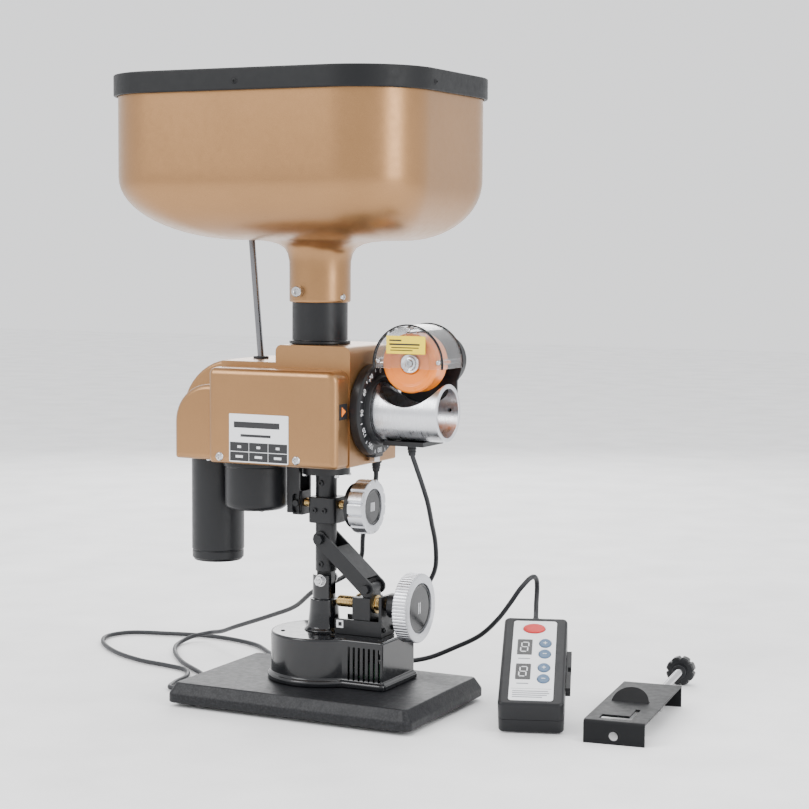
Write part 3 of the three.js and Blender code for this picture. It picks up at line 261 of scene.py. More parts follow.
def brushed(stretch):
    """Long fine scratches: stretch squeezes the noise along the other two directions."""
    def scratches(nodes, links, vector, tone, gloss, normal):
        scaled = nodes.new("ShaderNodeVectorMath")
        scaled.operation = "MULTIPLY"
        links.new(vector, scaled.inputs[0])
        scaled.inputs[1].default_value = stretch
        marks = noise(nodes, links, scaled.outputs[0], 1.0, 2)
        shine = nodes.new("ShaderNodeMath")
        shine.operation = "ADD"
        links.new(gloss, shine.inputs[0])
        links.new(mapped(nodes, links, marks, -0.05, 0.09), shine.inputs[1])
        return tone, shine.outputs[0], bumped(nodes, links, marks, 0.00003, normal)
    return scratches


def make_materials():
    tube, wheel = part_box("discharge_tube"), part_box("throw_wheel")
    knob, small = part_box("height_knob"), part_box("tilt_knob")
    centre = lambda pair: tuple((pair[0] + pair[1]) / 2)
    looks = {
        "gold": surface("gold_paint", (0.33, 0.175, 0.072), 0.33, 0.80, 2600, 0.00001, 0.05, 0.04, 0.18, 0.2,
                        extra=flaked),
        "rim": surface("rim_black", (0.0035, 0.004, 0.005), 0.5, grain=1500, depth=0.00005, specular=0.3),
        "base": surface("base_coat", (0.0055, 0.006, 0.0075), 0.46, grain=2200, depth=0.00003, specular=0.28,
                        extra=leathered),
        "gloss": surface("gloss_black", (0.004, 0.0045, 0.006), 0.17, grain=60, depth=0.00004, coat=0.2,
                         coat_roughness=0.06, specular=0.4),
        "plastic": surface("satin_black", (0.0055, 0.006, 0.0075), 0.38, grain=1800, depth=0.00004,
                           specular=0.35),
        "metal": surface("black_enamel", (0.006, 0.0065, 0.008), 0.40, 0.0, 1100, 0.00005, coat=0.08,
                         specular=0.35),
        "enamel": surface("bracket_enamel", (0.004, 0.0045, 0.0055), 0.5, grain=1300, depth=0.00004,
                          specular=0.2),
        "aluminium": surface("turned_aluminium", (0.66, 0.67, 0.70), 0.30, 1.0, 2600, 0.00001,
                             extra=turned_lines("x", centre(tube))),
        "knob": surface("knob_aluminium", (0.62, 0.63, 0.66), 0.32, 1.0, 2600, 0.00001,
                        extra=turned_lines("x", centre(knob))),
        "small_knob": surface("small_knob_aluminium", (0.62, 0.63, 0.66), 0.30, 1.0, 2600, 0.00001,
                              extra=turned_lines("x", centre(small))),
        "rod_steel": surface("drawn_steel", (0.20, 0.20, 0.21), 0.24, 1.0, 1400, 0.00001,
                             extra=brushed((900, 900, 60))),
        "steel": surface("polished_steel", (0.55, 0.55, 0.56), 0.16, 1.0, 1400, 0.00001,
                         extra=brushed((900, 900, 60))),
        "brass": surface("plain_brass", (0.60, 0.43, 0.19), 0.28, 1.0, 1800, 0.00002,
                         extra=turned_lines("x", centre(knob), 1800)),
        "orange": surface("cast_urethane", (0.90, 0.23, 0.008), 0.30, grain=1400, depth=0.00004, coat=0.25,
                          extra=turned_lines("y", centre(wheel), 900, 0.00006)),
        "rubber": surface("soft_rubber", (0.018, 0.0185, 0.021), 0.72, grain=1500, depth=0.00008),
        "jacket": surface("lead_jacket", (0.010, 0.011, 0.014), 0.46, grain=2400, depth=0.00003),
        "white": surface("white_film", (0.80, 0.81, 0.83), 0.42, grain=2600, depth=0.00002, mottle=0.02),
        "button": surface("button_rubber", (0.085, 0.145, 0.235), 0.5, grain=2200, depth=0.00004),
        "red": surface("red_plastic", (0.55, 0.020, 0.022), 0.36, grain=1800, depth=0.00003),
        "board": surface("board_lacquer", (0.02, 0.13, 0.05), 0.3, grain=500, depth=0.00006),
        "label_yellow": surface("yellow_film", (1.0, 0.72, 0.005), 0.42, grain=2400, depth=0.00002,
                                mottle=0.03),
        "ink": surface("print_and_shade_black", (0.012, 0.012, 0.014), 0.5, grain=2400, depth=0.00001),
        # black print, also used as the painted shade of the air slots on the case's back
        "grey": surface("print_grey", (0.16, 0.17, 0.19), 0.55, grain=2400, depth=0.00001),
        "mark": surface("print_white", (0.72, 0.73, 0.75), 0.55, grain=2400, depth=0.00001),
        "orange_mark": surface("print_orange", (0.88, 0.22, 0.02), 0.5, grain=2400, depth=0.00001),
        "window": surface("display_window", (0.004, 0.004, 0.005), 0.1, grain=90, depth=0.00001),
        "chrome": surface("bright_chrome", (0.72, 0.72, 0.73), 0.1, 1.0, 1200, 0.00001,
                          extra=turned_lines("y", centre(wheel), 2400, 0.00002)),
    }
    clear = surface("clear_cover", (0.93, 0.94, 0.95), 0.03, grain=120, depth=0.00003, mottle=0.02, vary=0.02)
    clear.node_tree.nodes["Principled BSDF"].inputs["Transmission Weight"].default_value = 0.98
    clear.node_tree.nodes["Principled BSDF"].inputs["IOR"].default_value = 1.38
    looks["clear"] = clear
    soft = looks["orange"].node_tree.nodes["Principled BSDF"]
    soft.inputs["Subsurface Weight"].default_value = 0.25
    soft.inputs["Subsurface Radius"].default_value = (0.006, 0.003, 0.001)
    soft.inputs["Subsurface Scale"].default_value = 1.0
    return looks


# ---------------------------------------------------------------- mesh tools
def mesh_object(name, points, faces):
    mesh = bpy.data.meshes.new(name)
    mesh.from_pydata([tuple(p) for p in points], [], faces)
    tidy = bmesh.new()
    tidy.from_mesh(mesh)
    bmesh.ops.remove_doubles(tidy, verts=tidy.verts, dist=1e-4)
    bmesh.ops.recalc_face_normals(tidy, faces=tidy.faces)
    tidy.to_mesh(mesh)
    tidy.free()
    made = bpy.data.objects.new(name, mesh)
    bpy.context.scene.collection.objects.link(made)
    return made


def softened(points, size, steps=4, closed=False):
    """A line with its corners rounded."""
    made = []
    for i, point in enumerate(points):
        corner = Vector(point)
        if not closed and i in (0, len(points) - 1):
            made.append(corner)
            continue
        back = Vector(points[i - 1]) - corner
        ahead = Vector(points[(i + 1) % len(points)]) - corner
        reach = min(size, back.length / 2.01, ahead.length / 2.01)
        straight = back.length > 0 and ahead.length > 0 and back.angle(ahead, 0) > math.radians(172)
        if straight or reach < 1e-3:
            made.append(corner)
            continue
        first, last = corner + back.normalized() * reach, corner + ahead.normalized() * reach
        for k in range(steps + 1):
            t = k / steps
            made.append((1 - t) ** 2 * first + 2 * t * (1 - t) * corner + t * t * last)
    return made


def on_axis(axis, along, u, v):
    """A point at a distance along an axis, with u and v across it."""
    return {"x": Vector((along, u, v)), "y": Vector((u, along, v)), "z": Vector((u, v, along))}[axis]


def lathe(profile, axis="z", at=(0, 0), sides=72, soft=0.0, closed=False, name="turned"):
    """A turned piece: profile points are (radius, distance along the axis), at is its place across it."""
    line = softened(profile, soft, closed=closed) if soft else [Vector(p) for p in profile]
    points, faces = [], []
    for radius, along in line:
        points += around(axis, along, at, radius, sides)
    count = len(line)
    for i in range(count if closed else count - 1):
        a, b = i * sides, (i + 1) % count * sides
        for k in range(sides):
            n = (k + 1) % sides
            faces.append((a + k, a + n, b + n, b + k))
    return mesh_object(name, points, clean_faces(points, faces))


def around(axis, along, at, radius, sides):
    """A ring of points about an axis; the radius is a length, or a function of the angle."""
    made = []
    for k in range(sides):
        angle = 2 * math.pi * k / sides
        r = radius(angle) if callable(radius) else radius
        made.append(on_axis(axis, along, at[0] + r * math.cos(angle), at[1] + r * math.sin(angle)))
    return made


def clean_faces(points, faces):
    """Faces without the repeated corners that a ring of no radius makes."""
    made = []
    for face in faces:
        kept = []
        for i in face:
            if all((Vector(points[i]) - Vector(points[j])).length > 1e-4 for j in kept):
                kept.append(i)
        if len(kept) > 2:
            made.append(tuple(kept))
    return made


def ring(axis, centre, inner, outer, a, b, soft=0.4, sides=72, name="ring"):
    return lathe([(inner, a), (outer, a), (outer, b), (inner, b)], axis, centre, sides, soft, True, name)


def disc(axis, centre, radius, a, b, soft=0.4, sides=72, name="disc"):
    return lathe([(0, a), (radius, a), (radius, b), (0, b)], axis, centre, sides, soft, False, name)


def rounded(u0, u1, v0, v1, corner, steps=6):
    """A rectangle's outline with its corners rounded: lower left, lower right, upper right, upper left."""
    sizes = [corner] * 4 if isinstance(corner, (int, float)) else corner
    centres = [(u0, v0, 1, 1, 180), (u1, v0, -1, 1, 270), (u1, v1, -1, -1, 0), (u0, v1, 1, -1, 90)]
    made = []
    for (u, v, su, sv, start), size in zip(centres, sizes):
        if size <= 0:
            made.append(Vector((u, v)))
            continue
        for k in range(steps + 1):
            angle = math.radians(start + 90 * k / steps)
            made.append(Vector((u + su * size + size * math.cos(angle),
                                v + sv * size + size * math.sin(angle))))
    return made


def circle(u, v, radius, steps=40):
    return [Vector((u + radius * math.cos(2 * math.pi * k / steps),
                    v + radius * math.sin(2 * math.pi * k / steps)))
            for k in range(steps)]


def oval(u, v, a, b, steps=40):
    return [Vector((u + a * math.cos(2 * math.pi * k / steps), v + b * math.sin(2 * math.pi * k / steps)))
            for k in range(steps)]


def prism(outline, axis, a, b, bevel=0.0, segments=3, name="prism"):
    """An outline pushed along an axis from a to b, with its edges rounded."""
    count = len(outline)
    points = [on_axis(axis, along, *p) for along in (a, b) for p in outline]
    faces = [tuple(range(count)), tuple(range(count, 2 * count))]
    faces += [(i, (i + 1) % count, (i + 1) % count + count, i + count) for i in range(count)]
    made = mesh_object(name, points, faces)
    return rounded_edges(made, bevel, segments) if bevel else made


def block(x0, x1, y0, y1, z0, z1, bevel=0.0, segments=3, name="block"):
    return prism([Vector(p) for p in ((x0, y0), (x1, y0), (x1, y1), (x0, y1))], "z", z0, z1, bevel, segments,
                 name)


def loft(rings, name="loft", closed=False):
    """A skin through rings of equal count, with its ends closed, or joined end to end."""
    count = len(rings[0])
    points = [p for each in rings for p in each]
    faces = []
    levels = len(rings)
    for level in range(levels if closed else levels - 1):
        a, b = level * count, (level + 1) % levels * count
        faces += [(a + i, a + (i + 1) % count, b + (i + 1) % count, b + i) for i in range(count)]
    if not closed:
        faces += [tuple(range(count)), tuple(range((levels - 1) * count, levels * count))]
    return mesh_object(name, points, faces)


def applied(obj):
    """The object with its modifiers made permanent."""
    graph = bpy.context.evaluated_depsgraph_get()
    mesh = bpy.data.meshes.new_from_object(obj.evaluated_get(graph))
    old = obj.data
    obj.modifiers.clear()
    obj.data = mesh
    bpy.data.meshes.remove(old)
    return obj


def rounded_edges(obj, width, segments=3, angle=35):
    made = obj.modifiers.new("round", "BEVEL")
    made.width, made.segments, made.limit_method = width, segments, "ANGLE"
    made.angle_limit = math.radians(angle)
    made.harden_normals = False
    return applied(obj)


def combined(obj, operation, others):
    for other in others:
        made = obj.modifiers.new("boolean", "BOOLEAN")
        made.object, made.operation, made.solver = other, operation, "EXACT"
        applied(obj)
        bpy.data.objects.remove(other)
    return obj


def cut(obj, *tools):
    return combined(obj, "DIFFERENCE", tools)


def joined(obj, *others):
    return combined(obj, "UNION", others)


def gathered(name, objects):
    """Several separate solids as one piece."""
    made = bmesh.new()
    for each in objects:
        made.from_mesh(each.data)
        bpy.data.objects.remove(each)
    mesh = bpy.data.meshes.new(name)
    made.to_mesh(mesh)
    made.free()
    obj = bpy.data.objects.new(name, mesh)
    bpy.context.scene.collection.objects.link(obj)
    return obj


def moved(obj, matrix):
    obj.data.transform(matrix)
    return obj


def piece(obj, name, body, look, slot, stands_for=(), crease=32):
    """Places a finished shape in the frame: its material, its body, and the CAD nodes that it stands for."""
    obj.name = name
    obj.data.name = name
    obj.data.transform(Matrix.Translation(TURRET) @ Matrix.Scale(MM, 4))
    obj.data.polygons.foreach_set("use_smooth", [True] * len(obj.data.polygons))
    obj.data.set_sharp_from_angle(angle=math.radians(crease))
    obj.data.materials.clear()
    obj.data.materials.append(LOOKS[look])
    weighted = obj.modifiers.new("normals", "WEIGHTED_NORMAL")
    weighted.keep_sharp = True
    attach(obj, body)
    if stands_for:
        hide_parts(*([stands_for] if isinstance(stands_for, str) else stands_for))
    return obj


def bundle(name, objects, body, look, slot, stands_for=()):
    """Several separate solids as one finished piece."""
    return piece(gathered(name, objects), name, body, look, slot, stands_for)


def kept(node, look, width=0.5, segments=3):
    """A CAD node with welded, rounded edges and its material."""
    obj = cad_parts[node]
    obj.data.materials.clear()
    obj.data.materials.append(LOOKS[look])
    obj.data.polygons.foreach_set("use_smooth", [True] * len(obj.data.polygons))
    weld = obj.modifiers.new("weld", "WELD")
    weld.merge_threshold = 0.00001
    flat = obj.modifiers.new("flat", "DECIMATE")
    flat.decimate_type, flat.angle_limit = "DISSOLVE", math.radians(1)
    if width:
        edges = obj.modifiers.new("round", "BEVEL")
        edges.width, edges.segments, edges.limit_method = width * MM, segments, "ANGLE"
        edges.angle_limit = math.radians(40)
    obj.modifiers.new("normals", "WEIGHTED_NORMAL").keep_sharp = True


def toward(direction):
    """The turn that lays +Z along a direction."""
    return Vector(direction).to_track_quat("Z", "Y").to_matrix().to_4x4()


def placed(obj, point, direction=(0, 0, 1)):
    return moved(obj, Matrix.Translation(point) @ toward(direction))


def screw_head(kind, radius):
    """A screw head standing on z 0: a domed cross head, a socket cap or a hexagon."""
    if kind == "cross":
        head = lathe([(0, -0.6), (radius, -0.6), (radius, 0.1), (radius * 0.72, radius * 0.34),
                      (0, radius * 0.46)],
                     soft=0.3, sides=40)
        arm, width = radius * 0.55, radius * 0.13
        slot = block(-arm, arm, -width, width, radius * 0.12, radius)
        return cut(head, slot, block(-width, width, -arm, arm, radius * 0.12, radius))
    if kind == "socket":
        head = disc("z", (0, 0), radius, -0.6, radius * 0.9, radius * 0.14, 40)
        return cut(head, prism(circle(0, 0, radius * 0.55, 6), "z", radius * 0.35, radius * 2))
    return prism(circle(0, 0, radius, 6), "z", -0.6, radius * 0.75, 0.25)


def screw_row(name, body, kind, radius, spots, direction, look="steel", slot="steel"):
    """Screws of one kind, each its own piece, numbered from 1."""
    for i, spot in enumerate(spots):
        piece(placed(screw_head(kind, radius), spot, direction), f"{name}_{i + 1}", body, look, slot)


def rod(points, radius, sides=12, name="rod"):
    """A round rod along points, with closed ends."""
    frames = []
    side = None
    for i, point in enumerate(points):
        ahead = (points[min(i + 1, len(points) - 1)] - points[max(i - 1, 0)]).normalized()
        if side is None:
            side = ahead.orthogonal().normalized()
        side = (side - ahead * side.dot(ahead)).normalized()
        frames.append((point, side, ahead.cross(side)))
    rings = [[p + radius * (math.cos(t) * u + math.sin(t) * v) for t in
              (2 * math.pi * k / sides for k in range(sides))] for p, u, v in frames]
    return loft(rings, name)


def thread(a, b, radius, pitch, depth, axis, at, name="thread", sides=28):
    """A threaded bar: its surface rises and falls once every pitch, along a helix."""
    steps = int((b - a) / pitch * 6)
    rings = []
    for i in range(steps + 1):
        along = a + (b - a) * i / steps
        ends = min(1.0, (along - a) / pitch, (b - along) / pitch)
        each = []
        for k in range(sides):
            turn = k / sides
            wave = abs((along / pitch + turn) % 1 * 2 - 1)
            r = radius - depth * (1 - wave * ends) - (0.3 if i in (0, steps) else 0)
            each.append(on_axis(axis, along, at[0] + r * math.cos(2 * math.pi * turn),
                                at[1] + r * math.sin(2 * math.pi * turn)))
        rings.append(each)
    return loft(rings, name)


# ---------------------------------------------------------------- leads
LEAD = 0.0045
THROW_MOTOR_ROUTE = [(84, 10, 240.6), (84.5, 10, 232), (86, 14, 222), (88, 22, 206), (88.5, 28, 196),
                     (88, 36, 185),
                     (84, 54, 162), (82, 65, 146), (80, 72,
                                                    129), (77.5, 75.5, 118), (73, 77, 108), (58, 74, 84),
                     (42, 64, 62), (30, 56, 49), (22.8, 47.6, 44)]
FEED_MOTOR_ROUTE = [(38, 30, 221.4), (37.6, 30.5, 214), (36, 33, 203), (28, 38, 178), (18, 43, 150),
                    (13, 48, 126),
                    (-4, 54, 109), (-24, 61, 98), (-50, 71, 86), (-84, 94,
                                                                  64), (-118, 110, 50), (-180, 138, 27),
                    (-206, 155, 17), (-229, 168, 11), (-246, 162, 6.5), (-250, 143, 2.9), (-236, 112, 2.9),
                    (-198, 66, 2.9), (-143, 20, 2.9), (-129, -6, 2.9), (-131, -30, 2.9), (-145, -36, 2.9),
                    (-153, -18, 2.9), (-158, 12, 2.9), (-174, 35, 2.9), (-202, 44, 2.9), (-236, 51, 2.9),
                    (-282, 73, 2.9), (-324, 110, 2.9), (-337, 138, 2.9), (-327, 163, 2.9), (-286, 178, 2.9),
                    (-240, 187, 2.9), (-204, 182, 2.9), (-171, 169, 2.9), (-136, 138, 3), (-104, 108, 8),
                    (-76, 84, 24), (-56, 66, 31), (-38.4, 45.8, 34)]
CONTROLLER_ROUTE = [(47, 36, 34), (52, 44, 33), (60, 58, 31), (76, 68, 34), (98, 74, 44), (124, 75, 58),
                    (144, 71, 76), (158, 67, 93), (168, 64.5, 106.5), (173.5, 64.5, 113), (177, 68.5, 117.5),
                    (178.5, 74, 118), (178.5, 79.5, 114.5), (177.8, 83,
                                                             108), (177, 84.5, 100), (177, 83.5, 92),
                    (178.5, 79.5, 85.5), (181.8, 71, 80.2)]


def smooth_line(route, per_span=8):
    """A centripetal Catmull-Rom curve through the route's points; also gives where each point falls on it."""
    points = [Vector(p) for p in route]
    points = [2 * points[0] - points[1], *points, 2 * points[-1] - points[-2]]
    line = [points[1]]
    for i in range(1, len(points) - 2):
        p0, p1, p2, p3 = points[i - 1:i + 3]
        t0 = 0.0
        t1 = t0 + (p1 - p0).length ** 0.5
        t2 = t1 + (p2 - p1).length ** 0.5
        t3 = t2 + (p3 - p2).length ** 0.5
        for k in range(1, per_span + 1):
            t = t1 + (t2 - t1) * k / per_span
            a1 = p0 * ((t1 - t) / (t1 - t0)) + p1 * ((t - t0) / (t1 - t0))
            a2 = p1 * ((t2 - t) / (t2 - t1)) + p2 * ((t - t1) / (t2 - t1))
            a3 = p2 * ((t3 - t) / (t3 - t2)) + p3 * ((t - t2) / (t3 - t2))
            b1 = a1 * ((t2 - t) / (t2 - t0)) + a2 * ((t - t0) / (t2 - t0))
            b2 = a2 * ((t3 - t) / (t3 - t1)) + a3 * ((t - t1) / (t3 - t1))
            line.append(b1 * ((t2 - t) / (t2 - t1)) + b2 * ((t - t1) / (t2 - t1)))
    return line


def lead(node, route, spans, per_span=8):
    """One free lead. spans are its stretches, (last route point, low body, high body, low, high): a stretch
    with no high body follows the low body, every other stretch is left unattached where it lies, and the
    heights low and high are not read."""
    line = smooth_line(route, per_span)
    start = 0
    for number, (last, low_body, high_body, low, high) in enumerate(spans):
        stretch = line[start * per_span:last * per_span + 1]
        name = f"{node}_run_{number + 1}"
        made = rod(stretch, LEAD / 2 / MM, 12, name)
        made.data.transform(Matrix.Translation(TURRET) @ Matrix.Scale(MM, 4))
        made.data.polygons.foreach_set("use_smooth", [True] * len(made.data.polygons))
        made.data.set_sharp_from_angle(angle=math.radians(60))
        made.data.materials.append(LOOKS["jacket"])
        if high_body is None:
            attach(made, low_body)
        else:
            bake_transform(made)
        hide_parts(node)
        start = last


def leads():
    lead("lead_throw_motor", THROW_MOTOR_ROUTE, [
        (3, "head", "throwing_head", 206, 236), (6, "column", "head", 162, 206),
        (10, "turret", "column", 108, 162), (14, "root", "turret", 52, 108)])
    lead("lead_feed_motor", FEED_MOTOR_ROUTE, [
        (3, "column", "head", 178, 216), (6, "turret", "column", 109, 178),
        (39, "root", "turret", 50, 109)])
    lead("lead_controller", CONTROLLER_ROUTE, [(17, "root", None, 0, 0)])


def pillow(outline, axis, start, end, start_radius=0.0, end_radius=0.0, name="pillow"):
    """A stack of an outline made smaller towards its rounded ends; outline(inset) gives its points."""
    stations = []
    stations += round_end(start, start_radius, 1) if start_radius else [(start, 0.0)]
    stations += list(reversed(round_end(end, end_radius, -1))) if end_radius else [(end, 0.0)]
    return loft([[on_axis(axis, p, *q) for q in outline(inset)] for p, inset in stations], name)


def round_end(position, radius, inward, steps=6):
    """Stations from the end face inwards round a quarter circle."""
    made = []
    for k in range(steps + 1):
        angle = math.radians(90 * k / steps)
        made.append((position + inward * radius * (1 - math.cos(angle)), radius * (1 - math.sin(angle))))
    return made


def box_outline(u0, u1, v0, v1, corners, least=0.4, steps=7):
    """A rounded rectangle as a function of how far it is drawn in."""
    def outline(inset):
        sizes = [max(c - inset, least) for c in corners]
        return rounded(u0 + inset, u1 - inset, v0 + inset, v1 - inset, sizes, steps)
    return outline


# ---------------------------------------------------------------- base
def base():
    plate = Box("base_plate")
    bevel, drop, corner = 6, 10, 7

    def level(inset, z):
        outline = rounded(plate.x0 + inset, plate.x1 - inset, plate.y0 + inset, plate.y1 - inset,
                          max(corner - inset / 2, 2), 7)
        return [Vector((*p, z)) for p in outline]
    profile = softened([(4, plate.z0), (0, plate.z0), (0, plate.z1 - drop), (bevel, plate.z1),
                        (16, plate.z1)], 1.3, 5)
    piece(loft([level(*p) for p in profile]), "plate", "root", "base", "black_base", "base_plate")
    for i in range(1, 5):
        foot = Box(f"foot_{i}")
        r, h = foot.dx / 2, foot.z1
        shape = lathe([(0, 1.4), (2.6, 1.4), (2.6, 0.1), (r - 0.8, 0), (r, 0.8), (r - 0.5, h), (0, h)],
                      at=(foot.x, foot.y), soft=0.35)
        piece(shape, f"rubber_foot_{i}", "root", "rubber", "rubber", f"foot_{i}")


DRUM_RADIUS, DRUM_HALF, DRUM_TAIL = 49, 33, 77


def drum_outline(grow, steps=84):
    radius, half, end = DRUM_RADIUS + grow, DRUM_HALF + grow, DRUM_TAIL + grow
    start = math.asin(half / radius)
    made = []
    for k in range(steps + 1):
        angle = start + (2 * math.pi - 2 * start) * k / steps
        made.append(Vector((radius * math.cos(angle), radius * math.sin(angle))))
    corner = max(2.2 + grow, 0.5)
    for v, first in ((-half, 270), (half, 0)):
        centre = (end - corner, v - math.copysign(corner, v))
        for k in range(6):
            angle = math.radians(first + 18 * k)
            made.append(Vector((centre[0] + corner * math.cos(angle), centre[1] + corner * math.sin(angle))))
    return made


def drum():
    house = Box("drum_housing")
    wall, top, bottom = 2.5, house.z1, house.z0
    profile = softened([(0, bottom), (3, bottom), (3, bottom + 5), (0, bottom + 6.6), (0, top), (-9, top)],
                       2.6, 6)
    shell = loft([[Vector((*p, z)) for p in drum_outline(grow)] for grow, z in profile])
    inside = loft([[Vector((*p, z)) for p in drum_outline(-wall)] for z in (bottom - 2, top - wall)])
    tools = [inside, disc("z", (0, 0), 12, top - 6, top + 4, 0)]
    slots, first, pitch, width = 7, 42, 5.1, 2.2
    for i in range(slots):
        x = first + i * pitch
        slot = rounded(x, x + width, 29, 59.6, 1.0, 4)
        tools += [prism(slot, "y", -DRUM_HALF - 6, -DRUM_HALF + 5),
                  prism(slot, "y", DRUM_HALF - 5, DRUM_HALF + 6)]
    piece(cut(shell, *tools), "drum_shell", "root", "gloss", "black_gloss", "drum_housing")
    inlet = Box("power_inlet")
    body = prism(rounded(inlet.x0, inlet.x1, inlet.z0, inlet.z1, 2.5), "y", 46.6, inlet.y1, 0.6)
    body = cut(body, prism(rounded(-8, 8, 38, 48, 2), "y", inlet.y1 - 6, inlet.y1 + 2))
    pins = [disc("y", (x, 43), 1.1, inlet.y1 - 7, inlet.y1 - 1.2, 0.4, 20) for x in (-3.5, 3.5)]
    piece(body, "inlet_socket", "root", "plastic", "black_plastic", "power_inlet")
    bundle("inlet_pins", pins, "root", "brass", "brass")
    for name, look in (("swing_motor", "steel"), ("turret_bearing", "brass"), ("control_board", "board")):
        kept(name, look, 0.2)
    corners = [(x, y, top) for x in (-30, 70) for y in (-24, 24)]
    screw_row("drum_screw", "root", "cross", 2.2, corners, (0, 0, 1), "metal", "black_metal")


def gland(name, at, direction, body, look="rubber"):
    """A ribbed strain relief that a lead comes out of."""
    profile = [(2.5, -1.5), (5.2, -1.5), (5.2, 1.2), (3.9, 2), (3.9, 3.2), (4.2, 3.6), (4.2, 4.4), (3.6, 4.8),
               (3.6, 5.8), (3.9, 6.2), (3.9, 7), (3.3, 7.4), (3.3, 8.6), (3.0, 10), (2.4, 10)]
    piece(placed(lathe(profile, soft=0.3, closed=True, sides=40), at, direction), name, body, look, "rubber")


# ---------------------------------------------------------------- turret and column
def turret():
    post, bolt = Box("turret_post"), Box("column_hinge_bolt")
    drum_top = Box("drum_housing").z1
    shape = lathe([(0, post.z0), (8, post.z0), (8, drum_top + 0.3), (18.4, drum_top + 0.3),
                   (17.8, drum_top + 1.2),
                   (15.6, drum_top + 3.4), (14.6, drum_top + 8), (13.6, 84), (12.9, 95), (10.6, 95.6),
                   (10.6, post.z1), (0, post.z1)], soft=0.9, sides=80)
    shape = cut(shape, block(-30, 30, -4.3, 4.3, 100, 130), disc("y", (bolt.x, bolt.z), 3.3, -30, 30, 0, 32))
    piece(shape, "post_shell", "turret", "gloss", "black_gloss", "turret_post")
    parts = [disc("y", (bolt.x, bolt.z), 3, -12, 12, 0.2, 32)]
    for side in (-1, 1):
        parts.append(placed(lathe([(0, 0), (5.6, 0), (5.6, 0.9), (0, 0.9)], soft=0.25),
                            (bolt.x, side * 10.5, bolt.z),
                            (0, side, 0)))
        parts.append(placed(screw_head("hex", 4.6), (bolt.x, side * 12, bolt.z), (0, side, 0)))
        parts.append(placed(lathe([(0, 0), (2.8, 0), (2.4, 1.6), (0, 2)], soft=0.3),
                            (bolt.x, side * 14.8, bolt.z),
                            (0, side, 0)))
    piece(gathered("bolt", parts), "hinge_bolt", "turret", "steel", "steel", "column_hinge_bolt")
    kept("screw_trough", "metal", 0.9)
    trough = Box("screw_trough")
    spots = [(trough.x1, y, trough.z0 + 6) for y in (-9, 9)]
    screw_row("trough_screw", "turret", "socket", 2.2, spots, (1, 0, 0), "metal", "black_metal")
    mark = block(20, 27, trough.y0 - 0.25, trough.y0 + 0.1, trough.z0 + 5.5, trough.z0 + 12.5, 0.05)
    mark = cut(mark, block(22, 25.6, trough.y0 - 1, trough.y0 + 1, trough.z0 + 7.2, trough.z0 + 10.8))
    piece(mark, "level_mark", "turret", "mark", "white_plastic")


COLUMN_FOOT, LINK_PIVOT_Z = 121, 151.5


def column():
    tube, pivot = Box("column"), Box("head_hinge_pin")
    x, radius = pivot.x, 9.8
    hinge = Box("column_hinge_bolt").z
    shape = lathe([(0, COLUMN_FOOT), (radius, COLUMN_FOOT), (radius, tube.z1), (0, tube.z1)], at=(x, 0),
                  soft=0.8,
                  sides=64)
    tongue = prism([Vector((x + 7.5, COLUMN_FOOT + 3)), Vector((x - 7.5, COLUMN_FOOT + 3)),
                    *circle_part(x, hinge, 7.5, 180, 360)], "y", -4, 4)
    shape = joined(shape, tongue, disc("y", (x, LINK_PIVOT_Z), 3, -13.4, 13.4, 0.2, 32))
    shape = cut(shape, disc("y", (x, hinge), 3.3, -20, 20, 0, 32),
                disc("y", (x, pivot.z), 3.3, -20, 20, 0, 32),
                disc("x", (0, 183), 4.4, -20, 20, 0, 32))
    piece(shape, "column_tube", "column", "metal", "black_metal", "column")
    ends = [placed(screw_head("hex", 4.8), (x, side * 13.7, LINK_PIVOT_Z), (0, side, 0)) for side in (-1, 1)]
    bundle("link_bolts", ends, "column", "metal", "black_metal")
    spots = [(x, -radius + 0.4, z) for z in (128, 203)]
    screw_row("column_screw", "column", "socket", 2.6, spots, (0, -1, 0), "metal", "black_metal")
    collar = Box("tilt_collar")
    body = prism(rounded(collar.x0, collar.x1, collar.y0, collar.y1, 5), "z", collar.z0, collar.z1, 1.1)
    body = cut(body, disc("z", (x, 0), 10.1, 150, 200, 0, 64), disc("x", (0, 183), 4.4, -30, 30, 0, 32))
    piece(body, "collar_block", "column", "metal", "black_metal", "tilt_collar")
    screws = [placed(screw_head("socket", 2.3), (x + dx, collar.y0, 178), (0, -1, 0)) for dx in (-5, 5)]
    bundle("collar_screws", screws, "column", "metal", "black_metal")


def circle_part(u, v, radius, start, end, steps=16):
    angles = [math.radians(start + (end - start) * k / steps) for k in range(steps + 1)]
    return [Vector((u + radius * math.cos(a), v + radius * math.sin(a))) for a in angles]


